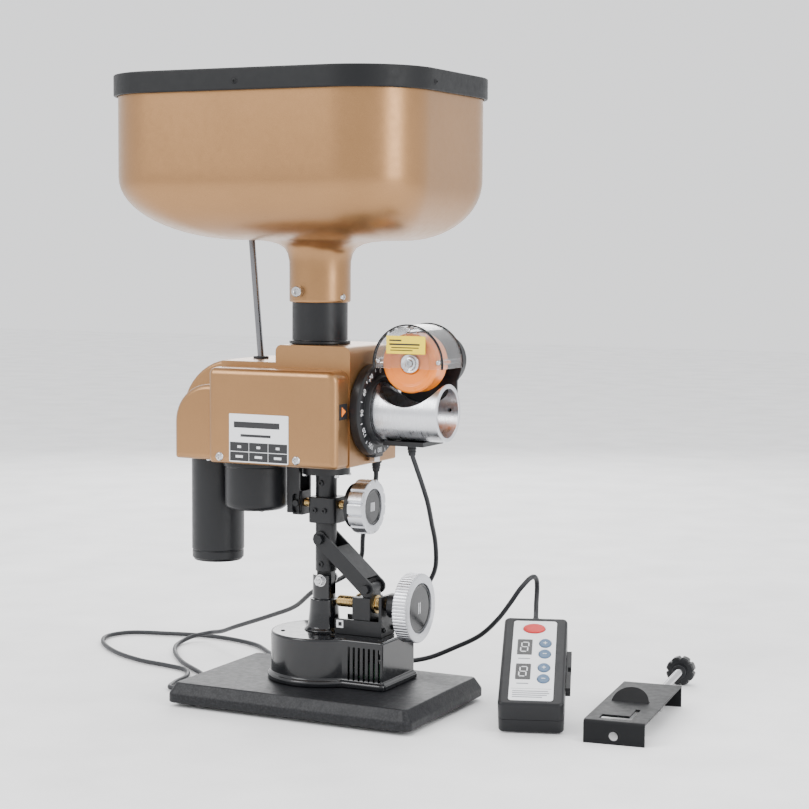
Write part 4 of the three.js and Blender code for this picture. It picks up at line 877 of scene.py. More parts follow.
def link():
    upper, lower = Vector((2, 0, LINK_PIVOT_Z)), Vector((50, 0, 109))
    length = (lower - upper).length
    side = rounded(-7, length + 7, -7, 7, 6.9, 9)
    shape = prism(side, "y", -12.9, -10.4)
    shape = joined(shape, prism(side, "y", 10.4, 12.9), block(17, length - 7, -12.9, 12.9, 4.2, 7))
    shape = cut(shape, disc("y", (0, 0), 3.3, -20, 20, 0, 32), disc("y", (length, 0), 4, -20, 20, 0, 32))
    shape = rounded_edges(shape, 0.6, 3, 50)
    turn = Matrix.Rotation(math.atan2(upper.z - lower.z, lower.x - upper.x), 4, "Y")
    piece(moved(shape, Matrix.Translation(upper) @ turn), "link_channel", "lift_link", "metal", "black_metal",
          "lift_link")
    kept("height_nut", "metal", 0.8)
    heads = [placed(screw_head("hex", 4.4), (lower.x, s * 13.9, lower.z), (0, s, 0)) for s in (-1, 1)]
    bundle("nut_pin_heads", heads, "height_nut", "metal", "black_metal")
    nut = Box("height_nut")
    bushes = [ring("x", (0, 94), 5.8, 8.4, nut.x0 - 0.6, nut.x0 + 1, 0.3),
              ring("x", (0, 94), 5.8, 8.4, nut.x1 - 1,
                                                                               nut.x1 + 0.6, 0.3)]
    bundle("nut_bushes", bushes, "height_nut", "brass", "brass")


def knob_shape(x0, x1, z, radius, count, depth, sharp, face, recess, sides=None):
    """A round knob along X with flutes round its rim and a shallow recess in its outer face."""
    sides = sides or count * 8
    steps = [(1.4, x0), (0.5, x0 + 0.35), (0.0, x0 + 1.3), (0.0, x1 - 1.3), (0.5, x1 - 0.35), (1.4, x1)]
    at = (0, z)
    rings = [around("x", x0, at, 4, sides)]
    for inset, x in steps:
        fluted = lambda angle: radius - inset - depth * max(0.0, math.cos(count * angle)) ** sharp
        rings.append(around("x", x, at, fluted, sides))
    for r, x in ((face + 0.6, x1), (face + 0.15, x1 - 0.15), (face, x1 - 0.6), (face - 0.1, x1 - recess),
                 (3, x1 - recess)):
        rings.append(around("x", x, at, r, sides))
    return loft(rings)


def knobs():
    screw, knob = Box("height_screw"), Box("height_knob")
    z, radius, face = knob.z, knob.dz / 2, 22.8
    rim = knob.x1 - 14
    piece(thread(screw.x0, screw.x1 - 2, 5.5, 1.6, 0.55, "x", (0, z)), "height_thread", "height_screw",
          "brass",
          "brass", "height_screw")
    piece(knob_shape(rim, knob.x1, z, radius, 60, 0.55, 3, face, 2.0), "height_wheel", "height_screw", "knob",
          "satin_aluminium", "height_knob")
    inset = lathe([(0, knob.x1 - 2.3), (face - 0.4, knob.x1 - 2.3), (face - 0.4, knob.x1 - 1.2),
                   (face - 2.2, knob.x1 - 0.9), (face - 3,
                                                 knob.x1 - 1.5), (0, knob.x1 - 1.4)], "x", (0, z), 96, 0.4)
    piece(inset, "height_inset", "height_screw", "gloss", "black_gloss")
    hub = lathe([(0, knob.x0), (11, knob.x0), (12.5, knob.x0 + 8), (14, rim - 1), (14, rim + 0.5),
                 (0, rim + 0.5)],
                "x", (0, z), 64, 0.6)
    piece(hub, "height_hub", "height_screw", "plastic", "black_plastic")
    marks = [block(knob.x1 - 1.42, knob.x1 - 1.3, y, y + 1.1, z - 5, z + 5, 0.03) for y in (-2, 1)]
    bundle("height_marks", marks, "height_screw", "mark", "white_plastic")

    screw, knob = Box("tilt_screw"), Box("tilt_knob")
    z, radius, face = knob.z, knob.dz / 2, 16.6
    piece(thread(screw.x0, screw.x1 - 4, 4, 1.4, 0.45, "x", (0, z)), "tilt_thread", "tilt_screw", "brass",
          "brass",
          "tilt_screw")
    piece(knob_shape(knob.x1 - 15, knob.x1, z, 25, 13, 2.1, 7, face, 1.8, 208), "tilt_wheel", "tilt_screw",
          "small_knob", "satin_aluminium", "tilt_knob")
    inset = lathe([(0, knob.x1 - 2.1), (face - 0.4, knob.x1 - 2.1), (face - 0.4, knob.x1 - 0.9),
                   (face - 1.8, knob.x1 - 0.6), (face - 2.6,
                                                 knob.x1 - 1.3), (0, knob.x1 - 1.3)], "x", (0, z), 96, 0.35)
    piece(inset, "tilt_inset", "tilt_screw", "gloss", "black_gloss")
    marks = [block(knob.x1 - 1.32, knob.x1 - 1.2, y, y + 0.9, z - 4, z + 4,
                   0.03) for y in (-3.4, -1.2, 1, 3.2)]
    bundle("tilt_marks", marks, "tilt_screw", "mark", "white_plastic")
    back = lathe([(0, knob.x0), (18, knob.x0), (20.5, knob.x0 + 1.2), (20.5, knob.x1 - 14.6),
                  (0, knob.x1 - 14.6)],
                 "x", (0, z), 96, 0.8)
    piece(back, "tilt_back_disc", "tilt_screw", "plastic", "black_plastic")
    kept("tilt_nut", "metal", 0.6)


# ---------------------------------------------------------------- case
CASE_WALL = 2.5
TALL_LEFT, ARC, ARC_FRONT, FLAT_TOP, FRONT_PLANE = -30, 55, -20, 314, -38


def case_solid(grow, front, arc_front):
    """The case's body as one solid, larger by grow all round, with a flat front and a rounded back."""
    case, cover = Box("case_body"), Box("front_cover")
    low, back = case.z0 - grow, case.y1 + grow
    soft = 0.4 if grow < 0 else 4.5
    tall = pillow(box_outline(TALL_LEFT - grow, case.x1 + grow, low, case.z1 + grow, [1.5, 1.5, 6, 6]), "y",
                  front,
                  back, 0, soft)
    middle = pillow(box_outline(cover.x0 - grow, TALL_LEFT + 12, low, FLAT_TOP + grow, [1.5, 1.5, 1, 1]),
                    "y", front,
                    back, 0, soft)
    side = pillow(box_outline(case.x0 - grow, cover.x0 + 5, low, FLAT_TOP + grow, [1.5, 1, 1, ARC + grow],
                              steps=12),
                  "y", arc_front, back, 0 if grow < 0 else 3.5, soft)
    return joined(tall, middle, side)


def case():
    body, cover = Box("case_body"), Box("front_cover")
    neck, tube, rod_box = Box("neck_tube"), Box("discharge_tube"), Box("stir_rod")
    shell = case_solid(0, FRONT_PLANE, ARC_FRONT)
    behind = box_outline(cover.x0, cover.x1, cover.z0, cover.z1, [3, 3, 9, 9])
    opening = prism(behind(CASE_WALL), "y", FRONT_PLANE - 1, FRONT_PLANE + CASE_WALL + 1)
    shell = cut(shell, case_solid(-CASE_WALL, FRONT_PLANE + CASE_WALL, ARC_FRONT + CASE_WALL), opening,
                disc("z", (neck.x, 0), 25.8, 300, 340, 0, 64), disc("x", (0, tube.z), 27, 38, 60, 0, 64),
                disc("z", (2, 0), 19, 215, 230, 0, 64), disc("z", (rod_box.x1 - 5.2, rod_box.y), 6, 305, 320,
                                                             0, 40))
    piece(shell, "case_shell", "head", "gold", "gold_paint", "case_body", 40)

    outline = box_outline(cover.x0, cover.x1, cover.z0, cover.z1, [4, 4, 10, 6], steps=9)
    front = pillow(outline, "y", cover.y0, cover.y1, 6.5, 0)
    front = cut(front, pillow(lambda inset: outline(CASE_WALL), "y", cover.y0 + CASE_WALL + 1, cover.y1 + 1))
    piece(front, "front_shell", "head", "gold", "gold_paint", "front_cover", 40)

    gear = Box("gear_cover")
    arc = box_outline(gear.x0, gear.x1, gear.z0, gear.z1, [3, 0.4, 0.4, 36], steps=12)
    side = pillow(arc, "y", gear.y0, gear.y1, 5.5, 0)
    side = cut(side, pillow(lambda inset: arc(CASE_WALL), "y", gear.y0 + CASE_WALL, gear.y1 + 1))
    piece(side, "gear_shell", "head", "gold", "gold_paint", "gear_cover", 40)

    spots = [(-74.2, cover.y0, 228.6), (5.2, cover.y0, 228.9)]
    screw_row("cover_screw", "head", "cross", 4.1, spots, (0, -1, 0))
    piece(placed(screw_head("cross", 3.2), (-100, -38, gear.z0), (0, 0, -1)), "gear_screw", "head", "steel",
          "steel")
    label(cover)
    pointer(cover)
    kept("case_flange", "metal", 0.5)
    kept("head_hinge_pin", "steel", 0.4)
    kept("tilt_lug", "metal", 0.8)
    gusset = block(-20.6, -12.5, -7, 7, 214, 221.7, 1.0)
    piece(gusset, "lug_rib", "head", "metal", "black_metal")
    spots = [(x, y, Box("case_flange").z0) for x, y in ((19, -12), (19, 12), (-14, -13), (-14, 13))]
    screw_row("flange_screw", "head", "socket", 2.2, spots, (0, 0, -1))
    back_fittings(body)


def back_fittings(body):
    """The back of the case: cover screws in its corners and a row of air slots drawn as painted shade, thin
    dark patches on its surface.
    """
    y = body.y1
    spots = [(x, y, z) for x, z in ((-120, 234), (-20, 234), (34, 234), (-20, 318), (34, 318), (-96, 300))]
    screw_row("back_screw", "head", "cross", 3.4, spots, (0, 1, 0))
    # painted shade: each air slot is a thin dark patch laid on the back, not an opening
    slots = [prism(rounded(-112 + 8 * i, -108 + 8 * i, 250, 282, 1.9, 5), "y", y - 0.1, y + 0.35, 0.1)
             for i in range(8)]
    bundle("back_slot_shades", slots, "head", "ink", "black_plastic")


def label(cover):
    """A plain rating plate: a white field with two bars above a dark grid of six cells."""
    x0, x1, z0, z1 = -63.6, -2.4, 224.6, 268.2
    y = cover.y0
    piece(prism(rounded(x0, x1, z0, z1, 1), "y", y - 0.3, y + 0.1, 0.08), "plate_field", "head", "white",
          "white_plastic")
    cells, marks, bars = [], [], []
    width, height = (x1 - x0 - 3) / 3, 8.2
    for column_number in range(3):
        for row in range(2):
            left, low = x0 + 1 + column_number * (width + 0.5), z0 + 1 + row * (height + 0.6)
            cells.append(block(left, left + width, y - 0.42, y - 0.25, low, low + height, 0.03))
            wide = (3, 6)[row == 0]
            middle, up = left + width / 2, low + height / 2
            marks.append(block(middle - wide / 1.6, middle + wide / 1.6, y - 0.5, y - 0.4, up - 1.1,
                               up + 1.1, 0.02))
    bars.append(block(x0 + 5, x1 - 9, y - 0.42, y - 0.25, z1 - 12.5, z1 - 7, 0.03))
    bars.append(block(x0 + 12, x1 - 18, y - 0.42, y - 0.25, z1 - 20.6, z1 - 18.2, 0.03))
    bundle("plate_cells", cells + bars, "head", "ink", "black_plastic")
    bundle("plate_marks", marks, "head", "mark", "white_plastic")


def pointer(cover):
    """The mark on the case's side that the dial is read against."""
    x, y0, z0, size = cover.x1, -55.9, 266, 14
    piece(block(x - 0.1, x + 0.3, y0, y0 + size, z0, z0 + size, 0.08), "pointer_field", "head", "ink",
          "black_plastic")
    outline = [Vector((y0 + 4, z0 + 2.6)), Vector((y0 + 11.6, z0 + size / 2)),
               Vector((y0 + 4, z0 + size - 2.6))]
    piece(prism(outline, "x", x + 0.25, x + 0.5, 0.05), "pointer_arrow", "head", "orange_mark",
          "orange_urethane")


def motors():
    feed, gears = Box("feed_motor"), Box("feed_gearbox")
    r, z0, z1 = feed.dx / 2, feed.z0, feed.z1
    shape = lathe([(0, z0 + 1.2), (6, z0 + 1.2), (6, z0), (r - 2.4, z0), (r - 1.2, z0 + 2.2),
                   (r - 0.5, z0 + 2.4),
                   (r - 0.4, z0 + 9), (r - 0.9, z0 + 9.3), (r - 0.9,
                                                            z0 + 10.2), (r, z0 + 10.6), (r, z1), (0, z1)],
                  at=(feed.x, feed.y), soft=0.5, sides=96)
    piece(shape, "feed_motor_can", "head", "plastic", "black_plastic", "feed_motor")
    r, z0, z1 = gears.dx / 2, gears.z0, gears.z1
    shape = lathe([(0, z0), (r - 4, z0), (r - 0.6, z0 + 2.6), (r, z0 + 5), (r, z1 - 6), (r + 1.4, z1 - 5.5),
                   (r + 1.4, z1), (0, z1)], at=(gears.x, gears.y), soft=1.4, sides=96)
    piece(shape, "gearbox_can", "head", "plastic", "black_plastic", "feed_gearbox")
    screws = []
    for k in range(4):
        angle = math.radians(45 + 90 * k)
        spot = (gears.x + 20 * math.cos(angle), gears.y + 20 * math.sin(angle), z0)
        screws.append(placed(screw_head("cross", 2.6), spot, (0, 0, -1)))
    for side in (-1, 1):
        screws.append(placed(screw_head("cross", 2.2), (feed.x + 13 * side, feed.y, feed.z0), (0, 0, -1)))
    bundle("motor_screws", screws, "head", "steel", "steel")
    kept("ball_pusher", "white", 0.5)
    rod_box = Box("stir_rod")
    foot = Vector((rod_box.x1 - 3, rod_box.y, rod_box.z0 + 0.3))
    tip = Vector((rod_box.x0 + 3, rod_box.y, rod_box.z1 - 0.3))
    length = (tip - foot).length
    shape = placed(lathe([(0, 0), (3, 0), (3, length), (0, length)], soft=1.2, sides=40), foot, tip - foot)
    piece(shape, "stirrer", "stir_rod", "rod_steel", "steel", "stir_rod")
    piece(placed(ring("z", (0, 0), 3.5, 7.2, -0.5, 2.2, 0.6), (foot.x - 1.2, foot.y, FLAT_TOP), (0, 0, 1)),
          "rod_grommet", "head", "rubber", "rubber")


# ---------------------------------------------------------------- neck and hopper
HOPPER = {"x": -24.6, "half_x": 152.8, "half_y": 113.8, "shoulder": 480, "bottom": 424, "corner": 64,
          "wall": 2.4,
          "low_x": -1, "low_half_x": 76, "low_half_y": 45, "low_corner": 42}


def reach(angle, half_x, half_y, corner):
    """The distance from the middle of a rounded rectangle to its edge at an angle."""
    c, s = abs(math.cos(angle)), abs(math.sin(angle))
    corner = min(corner, half_x, half_y)
    flat_x, flat_y = half_x - corner, half_y - corner
    distance = min(half_x / max(c, 1e-9), half_y / max(s, 1e-9))
    x, y = distance * c, distance * s
    if x > flat_x and y > flat_y:
        along = flat_x * c + flat_y * s
        off = flat_x * flat_x + flat_y * flat_y - corner * corner
        distance = along + math.sqrt(max(along * along - off, 0))
    return distance


def hopper_angles(count=168):
    """Angles that fall evenly along the hopper's rim."""
    fine = [2 * math.pi * k / 4000 for k in range(4001)]
    points = [Vector((math.cos(a), math.sin(a))) * reach(a, HOPPER["half_x"], HOPPER["half_y"],
                                                         HOPPER["corner"])
              for a in fine]
    lengths = [0.0]
    for a, b in zip(points, points[1:]):
        lengths.append(lengths[-1] + (b - a).length)
    made, at = [], 0
    for k in range(count):
        goal = lengths[-1] * k / count
        while lengths[at + 1] < goal:
            at += 1
        share = (goal - lengths[at]) / (lengths[at + 1] - lengths[at])
        made.append(fine[at] + (fine[at + 1] - fine[at]) * share)
    return made


def hopper():
    tub, rim, neck = Box("hopper_tub"), Box("hopper_rim"), Box("neck_tube")
    angles = hopper_angles()
    h = HOPPER
    neck_x, socket = neck.x, 28
    top = tub.z1

    def level(x, half_x, half_y, corner, z):
        return [Vector((x + reach(a, half_x, half_y, corner) * math.cos(a),
                        reach(a, half_x, half_y, corner) * math.sin(a), z)) for a in angles]

    def bowl(inset):
        """From the straight wall down a quarter ellipse to the flat bottom."""
        rings = [level(h["x"], h["half_x"] - inset, h["half_y"] - inset, h["corner"] - inset, z)
                 for z in (top, top - 20, top - 45, h["shoulder"] + 8)]
        steps, rise = 16, h["shoulder"] - h["bottom"] - inset
        for i in range(steps + 1):
            angle = math.radians(90 * i / steps)
            share = 1 - math.cos(angle)
            span = lambda a, b: h[a] + (h[b] - h[a]) * share
            rings.append(level(span("x", "low_x"), span("half_x", "low_half_x") - inset,
                               span("half_y", "low_half_y") - inset, span("corner", "low_corner") - inset,
                               h["shoulder"] - rise * math.sin(angle)))
        return rings

    def flare(radius, z, blend):
        """Rings that turn the flat bottom into the round neck."""
        half_x = h["low_half_x"] * blend + radius * (1 - blend)
        half_y = h["low_half_y"] * blend + radius * (1 - blend)
        corner = h["low_corner"] * blend + radius * (1 - blend)
        x = h["low_x"] * blend + neck_x * (1 - blend)
        return level(x, half_x, half_y, corner, z)

    bottom = h["bottom"]
    throat = [(0.55, 0.35), (0.3, 1.5), (0.15, 3.6), (0.06, 7), (0.02, 12), (0.0, 19), (0.0, 28)]
    outside = bowl(0)
    for blend, drop in throat:
        outside.append(flare(socket + 9 * math.exp(-drop / 5), bottom - drop, blend))
    outside += [flare(socket, z, 0) for z in (tub.z0 + 2.4, tub.z0 + 1)]
    outside += [flare(socket - 0.8, tub.z0, 0), flare(25.9, tub.z0, 0), flare(25.7, tub.z0 + 0.5, 0)]
    inside = [flare(25.7, neck.z1 + 0.3, 0), flare(22.6, neck.z1 + 0.3, 0), flare(22.6, neck.z1 + 6, 0)]
    for blend, drop in reversed(throat[:-1]):
        inside.append(flare(22.6 + 9 * math.exp(-drop / 5), bottom + h["wall"] - drop, blend))
    inside += list(reversed(bowl(h["wall"])))
    shell = loft(outside + inside, closed=True)
    rod_box = Box("stir_rod")
    shell = cut(shell, disc("z", (-80, rod_box.y), 7.5, 418, 436, 0, 40))
    piece(shell, "hopper_shell", "hopper", "gold", "gold_paint", "hopper_tub", 50)

    half_x, half_y, corner = rim.dx / 2, rim.dy / 2, 68
    section = softened([(0, rim.z0), (0, rim.z1), (9.1, rim.z1), (9.1, rim.z0 + 1), (6.7, rim.z0 + 1),
                        (6.7, top + 0.3), (3.7, top + 0.3), (3.7, rim.z0)], 1.5, 5, True)
    rings = [level(rim.x, half_x - inset, half_y - inset, corner - inset, z) for inset, z in section]
    piece(loft(rings, closed=True), "rim_moulding", "hopper", "rim", "rim_black", "hopper_rim", 50)
    studs = [placed(screw_head("cross", 2.6), (rim.x + side * half_x, -46, rim.z - 2), (side, 0, 0))
             for side in (-1, 1)]
    studs += [placed(screw_head("cross", 2.6), (rim.x, side * half_y, rim.z - 2),
                     (0, side, 0)) for side in (-1, 1)]
    bundle("rim_studs", studs, "hopper", "rim", "rim_black")

    tube = lathe([(22.6, neck.z0), (25.4, neck.z0), (25.4, 330.3), (28, 330.3), (28, 333), (25.4, 333.6),
                  (25.4, neck.z1), (22.6, neck.z1)], at=(neck_x, 0), soft=0.6, closed=True, sides=96)
    piece(tube, "neck_sleeve", "head", "plastic", "black_plastic", "neck_tube")
    screw = Box("neck_screw")
    head_face = screw.y1
    thumb = knurled(5.0, 6.6, 24, 0.35)
    piece(placed(thumb, (screw.x, head_face + 0.4, screw.z), (0, -1, 0)), "thumb_screw", "hopper", "steel",
          "steel",
          "neck_screw")
    piece(placed(screw_head("cross", 3.2), (neck_x + socket * 0.97, -socket * 0.24, 373), (1, -0.24, 0)),
          "neck_side_screw", "hopper", "steel", "steel")


def knurled(radius, height, count, depth, recess=2.6):
    """A thumb screw standing on z 0, with a fluted rim and a socket in its top."""
    sides = count * 6
    rings = []
    at = (0, 0)
    for inset, z in ((radius - 2, 0), (0.6, 0), (0, 0.6), (0, height - 0.6), (0.6, height)):
        fluted = lambda angle: radius - inset - depth * max(0, math.cos(count * angle)) ** 2
        rings.append(around("z", z, at, fluted, sides))
    for r, z in ((recess, height), (recess - 0.3, height - 0.4), (recess - 0.4, height - 2.6),
                 (0.4, height - 2.6)):
        rings.append(around("z", z, at, r, sides))
    return loft(rings)


# ---------------------------------------------------------------- throwing head
def lettered(text, size, thickness):
    """Plain generic numerals as a thin solid, centred on the origin in X and Y."""
    curve = bpy.data.curves.new("numeral", "FONT")
    curve.body, curve.size, curve.extrude = text, size, thickness
    curve.align_x, curve.align_y, curve.resolution_u = "CENTER", "CENTER", 3
    writing = bpy.data.objects.new("numeral", curve)
    bpy.context.scene.collection.objects.link(writing)
    bpy.context.view_layer.update()
    mesh = bpy.data.meshes.new_from_object(writing)
    bpy.data.objects.remove(writing)
    made = bpy.data.objects.new("numeral", mesh)
    bpy.context.scene.collection.objects.link(made)
    return made


def dial():
    ring_box, tube = Box("dial_ring"), Box("discharge_tube")
    z, r = tube.z, ring_box.dy / 2
    x0, x1, end = ring_box.x0, 57, ring_box.x1
    collar = 31.4
    body = lathe([(26.3, x0), (r - 0.8, x0), (r, x0 + 1), (r, x1 - 2.2), (r - 1.6, x1), (collar, x1),
                  (collar, x1 + 0.8),
                  (30.6, end), (28.4, end), (28.0, end - 1.2), (26.3,
                                                                end - 1.4)], "x", (0, z), 120, 0.5, True)
    piece(body, "dial_disc", "throwing_head", "metal", "black_metal_dial", "dial_ring", 36)
    marks = []
    middle = (r - 1.6 + collar) / 2
    for k in range(24):
        angle = 2 * math.pi * k / 24
        turn = Matrix.Rotation(angle, 4, "X")
        if k % 2:
            tick = block(x1 - 0.1, x1 + 0.12, -0.35, 0.35, r - 5.2, r - 2.2, 0.03)
            marks.append(moved(tick, Matrix.Translation((0, 0, z)) @ turn))
        else:
            value = abs(((k * 15 + 180) % 360) - 180)
            figure = lettered(str(value), 6.4, 0.12)
            upright = Matrix(((0, 0, 1, 0), (1, 0, 0, 0), (0, 1, 0, 0), (0, 0, 0, 1)))
            place = Matrix.Translation((0, 0, z)) @ turn @ Matrix.Translation((x1 + 0.02, 0, middle))
            marks.append(moved(figure, place @ upright))
    bundle("dial_marks", marks, "throwing_head", "mark", "white_plastic")
    foot = ring_box.z0
    piece(block(x0 + 0.2, x1 - 0.6, -8, 8, foot + 4.4, foot + 14, 1.2), "dial_lug", "throwing_head", "metal",
          "black_metal_dial")
    piece(placed(screw_head("hex", 5.4), (51.5, 0, foot + 4.4), (0, 0, -1)), "dial_bolt", "throwing_head",
          "steel",
          "steel")
    grip_reach = 35.6
    grip = [placed(screw_head("socket", 1.9), (x1, grip_reach * math.cos(a), z + grip_reach * math.sin(a)),
                   (1, 0, 0))
            for a in (math.radians(127.5), math.radians(232.5))]
    bundle("dial_screws", grip, "throwing_head", "steel", "steel")


def tube():
    box, wheel = Box("discharge_tube"), Box("throw_wheel")
    bore, outside = 22, 26
    shape = ring("x", (0, box.z), bore, outside, box.x0, box.x1, 0.9, 128)
    shape = cut(shape, disc("y", (wheel.x - 1, wheel.z - 1.5), 37, -40, 40, 0, 128),
                disc("y", (box.x1 - 9, box.z + 1), 1.9, 10, 40, 0, 24))
    piece(rounded_edges(shape, 0.35, 2, 55), "throw_tube", "throwing_head", "aluminium", "satin_aluminium",
          "discharge_tube", 30)


def wheel():
    box = Box("throw_wheel")
    at, y0, y1, r = (box.x, box.z), box.y0 + 0.6, box.y1, box.dx / 2
    tyre = [(0, y0 + 3.4), (9.4, y0 + 3.4), (10.2, y0 + 1.8), (19, y0 + 1.2), (20.6, y0), (r - 1.6, y0),
            (r - 0.2, y0 + 1.6), (r - 0.9, (y0 + y1) / 2), (r - 0.2,
                                                            y1 - 1.6), (r - 1.6, y1), (9, y1), (9, y1 - 1.5),
            (0, y1 - 1.5)]
    piece(lathe(tyre, "y", at, 128, 0.8), "urethane_wheel", "throw_wheel", "orange", "orange_urethane",
          "throw_wheel", 30)
    hub = [(3.2, y0 + 2), (3.6, y0 + 0.3), (5.2, y0 + 0.8), (7.6, y0 - 0.7), (9, y0 + 0.2), (9.2, y0 + 3.6),
           (3.2, y0 + 3.6)]
    piece(lathe(hub, "y", at, 96, 0.5, True), "wheel_hub", "throw_wheel", "chrome", "steel")
    piece(placed(screw_head("socket", 3.1), (at[0], y0 + 1.4, at[1]), (0, -1, 0)), "wheel_screw",
          "throw_wheel",
          "steel", "steel")


def cover():
    box, spin = Box("wheel_cover"), Box("throw_wheel")
    cx, cz, r, wall = spin.x, spin.z, box.dx / 2, 1.8
    drop = math.degrees(math.asin((cz - box.z0) / r))

    def dome(radius, low):
        return circle_part(cx, cz, radius, -low, 180 + low, 56)
    outer = prism(dome(r, drop), "y", box.y0, box.y1, 0.45)
    inner_low = math.degrees(math.asin((cz - box.z0 + 3) / (r - wall)))
    shell = cut(outer, prism(dome(r - wall, inner_low), "y", box.y0 + wall, box.y1 + 2))
    piece(shell, "clear_shell", "throwing_head", "clear", "clear_plastic", "wheel_cover", 35)
    for i, y in enumerate((box.y0 + 0.5, box.y1 - 0.5)):
        arc = [Vector((p.x, y, p.y)) for p in circle_part(cx, cz, r + 0.15, -drop, 180 + drop, 56)]
        piece(rod(arc, 0.75, 10), f"cover_trim_{i + 1}", "throwing_head", "plastic", "black_plastic",
              crease=70)
    posts, screws, post_reach = [], [], 30
    for angle in (3, 90, 177):
        x = cx + post_reach * math.cos(math.radians(angle))
        z = cz + post_reach * math.sin(math.radians(angle))
        posts.append(disc("y", (x, z), 2.4, box.y0 + wall, box.y1, 0.3, 32))
        screws.append(placed(screw_head("cross", 2.3), (x, box.y0, z), (0, -1, 0)))
    bundle("cover_posts", posts, "throwing_head", "clear", "clear_plastic")
    bundle("cover_screws", screws, "throwing_head", "steel", "steel")
    y = box.y0
    x0, x1, z0, z1 = cx - 21, cx + 17.5, cz + 8.5, cz + 24.5
    piece(prism(rounded(x0, x1, z0, z1, 0.8), "y", y - 0.25, y + 0.05, 0.06), "notice_field", "throwing_head",
          "label_yellow", "white_plastic")
    lines = [(3, 12, 3.4, 1.4), (3, 30, 6.8, 1.6), (5, 27, 10, 1.0), (4, 22, 12.4, 0.9)]
    bars = [block(x0 + a, x0 + a + b, y - 0.32, y - 0.22, z1 - d - t, z1 - d, 0.02) for a, b, d, t in lines]
    bundle("notice_bars", bars, "throwing_head", "ink", "black_plastic")


def throw_motor():
    box = Box("throw_motor")
    at, y0, y1, r = (box.x, box.z), 31, box.y1, box.dx / 2
    shape = lathe([(0, box.y0), (4, box.y0), (4, y0 - 1.5), (10, y0 - 1.5), (10, y0), (r - 1.6, y0),
                   (r, y0 + 2),
                   (r, y0 + 7), (r - 0.6, y0 + 7.4), (r - 0.6, y0 + 8.2), (r, y0 + 8.6), (r, y1 - 5),
                   (r - 2.4, y1 - 0.6), (9, y1), (8, y1 - 1.2), (0, y1 - 1.2)], "y", at, 96, 0.7)
    piece(shape, "motor_can", "throwing_head", "plastic", "black_plastic", "throw_motor")
    screws = [placed(screw_head("cross", 2.4), (at[0] + s * 15, y1 - 0.3, at[1]), (0, 1, 0)) for s in (-1, 1)]
    bundle("motor_end_screws", screws, "throwing_head", "steel", "steel")
    kept("motor_bracket", "metal", 0.6)


# ---------------------------------------------------------------- controller
CONTROLLER_WIDTH, CONTROLLER_LENGTH, CONTROLLER_HEIGHT, SPLIT = 57, 121, 32.4, 15
CONTROLLER_PLACE = (Matrix.Translation((193, -40, 0.35)) @ Matrix.Rotation(math.radians(20), 4, "Z")
                    @ Matrix.Rotation(math.radians(27), 4, "X"))
BUTTON_X, BUTTON_ROWS, BUTTON_HALF = 38.1, (83.3, 68.3, 49.4, 34.3), (5.3, 5.8)
KEY, KEY_HALF = (27.5, 103.7), (9.8, 6.3)
PANEL = (8.6, 47.8, 5, 115.5)


def on_controller(shape, *details, **more):
    return piece(moved(shape, CONTROLLER_PLACE), *details, **more)


def key_holes():
    """Cutters for the four buttons and the power key, a little larger than each."""
    gap, low, high = 0.4, CONTROLLER_HEIGHT - 9, CONTROLLER_HEIGHT + 3
    keys = [((BUTTON_X, y), BUTTON_HALF, 48) for y in BUTTON_ROWS] + [(KEY, KEY_HALF, 56)]
    return [prism(oval(*at, half[0] + gap, half[1] + gap, steps), "z", low, high) for at, half, steps in keys]


def key_cap(at, half, steps, crown):
    """An oval cap; crown lists how far it is drawn in and how high it stands above the handset's face."""
    rings = []
    for inset, rise in ((0, -6), *crown):
        edge = oval(*at, half[0] - inset, half[1] - inset, steps)
        rings.append([Vector((*p, CONTROLLER_HEIGHT + rise)) for p in edge])
    return loft(rings)


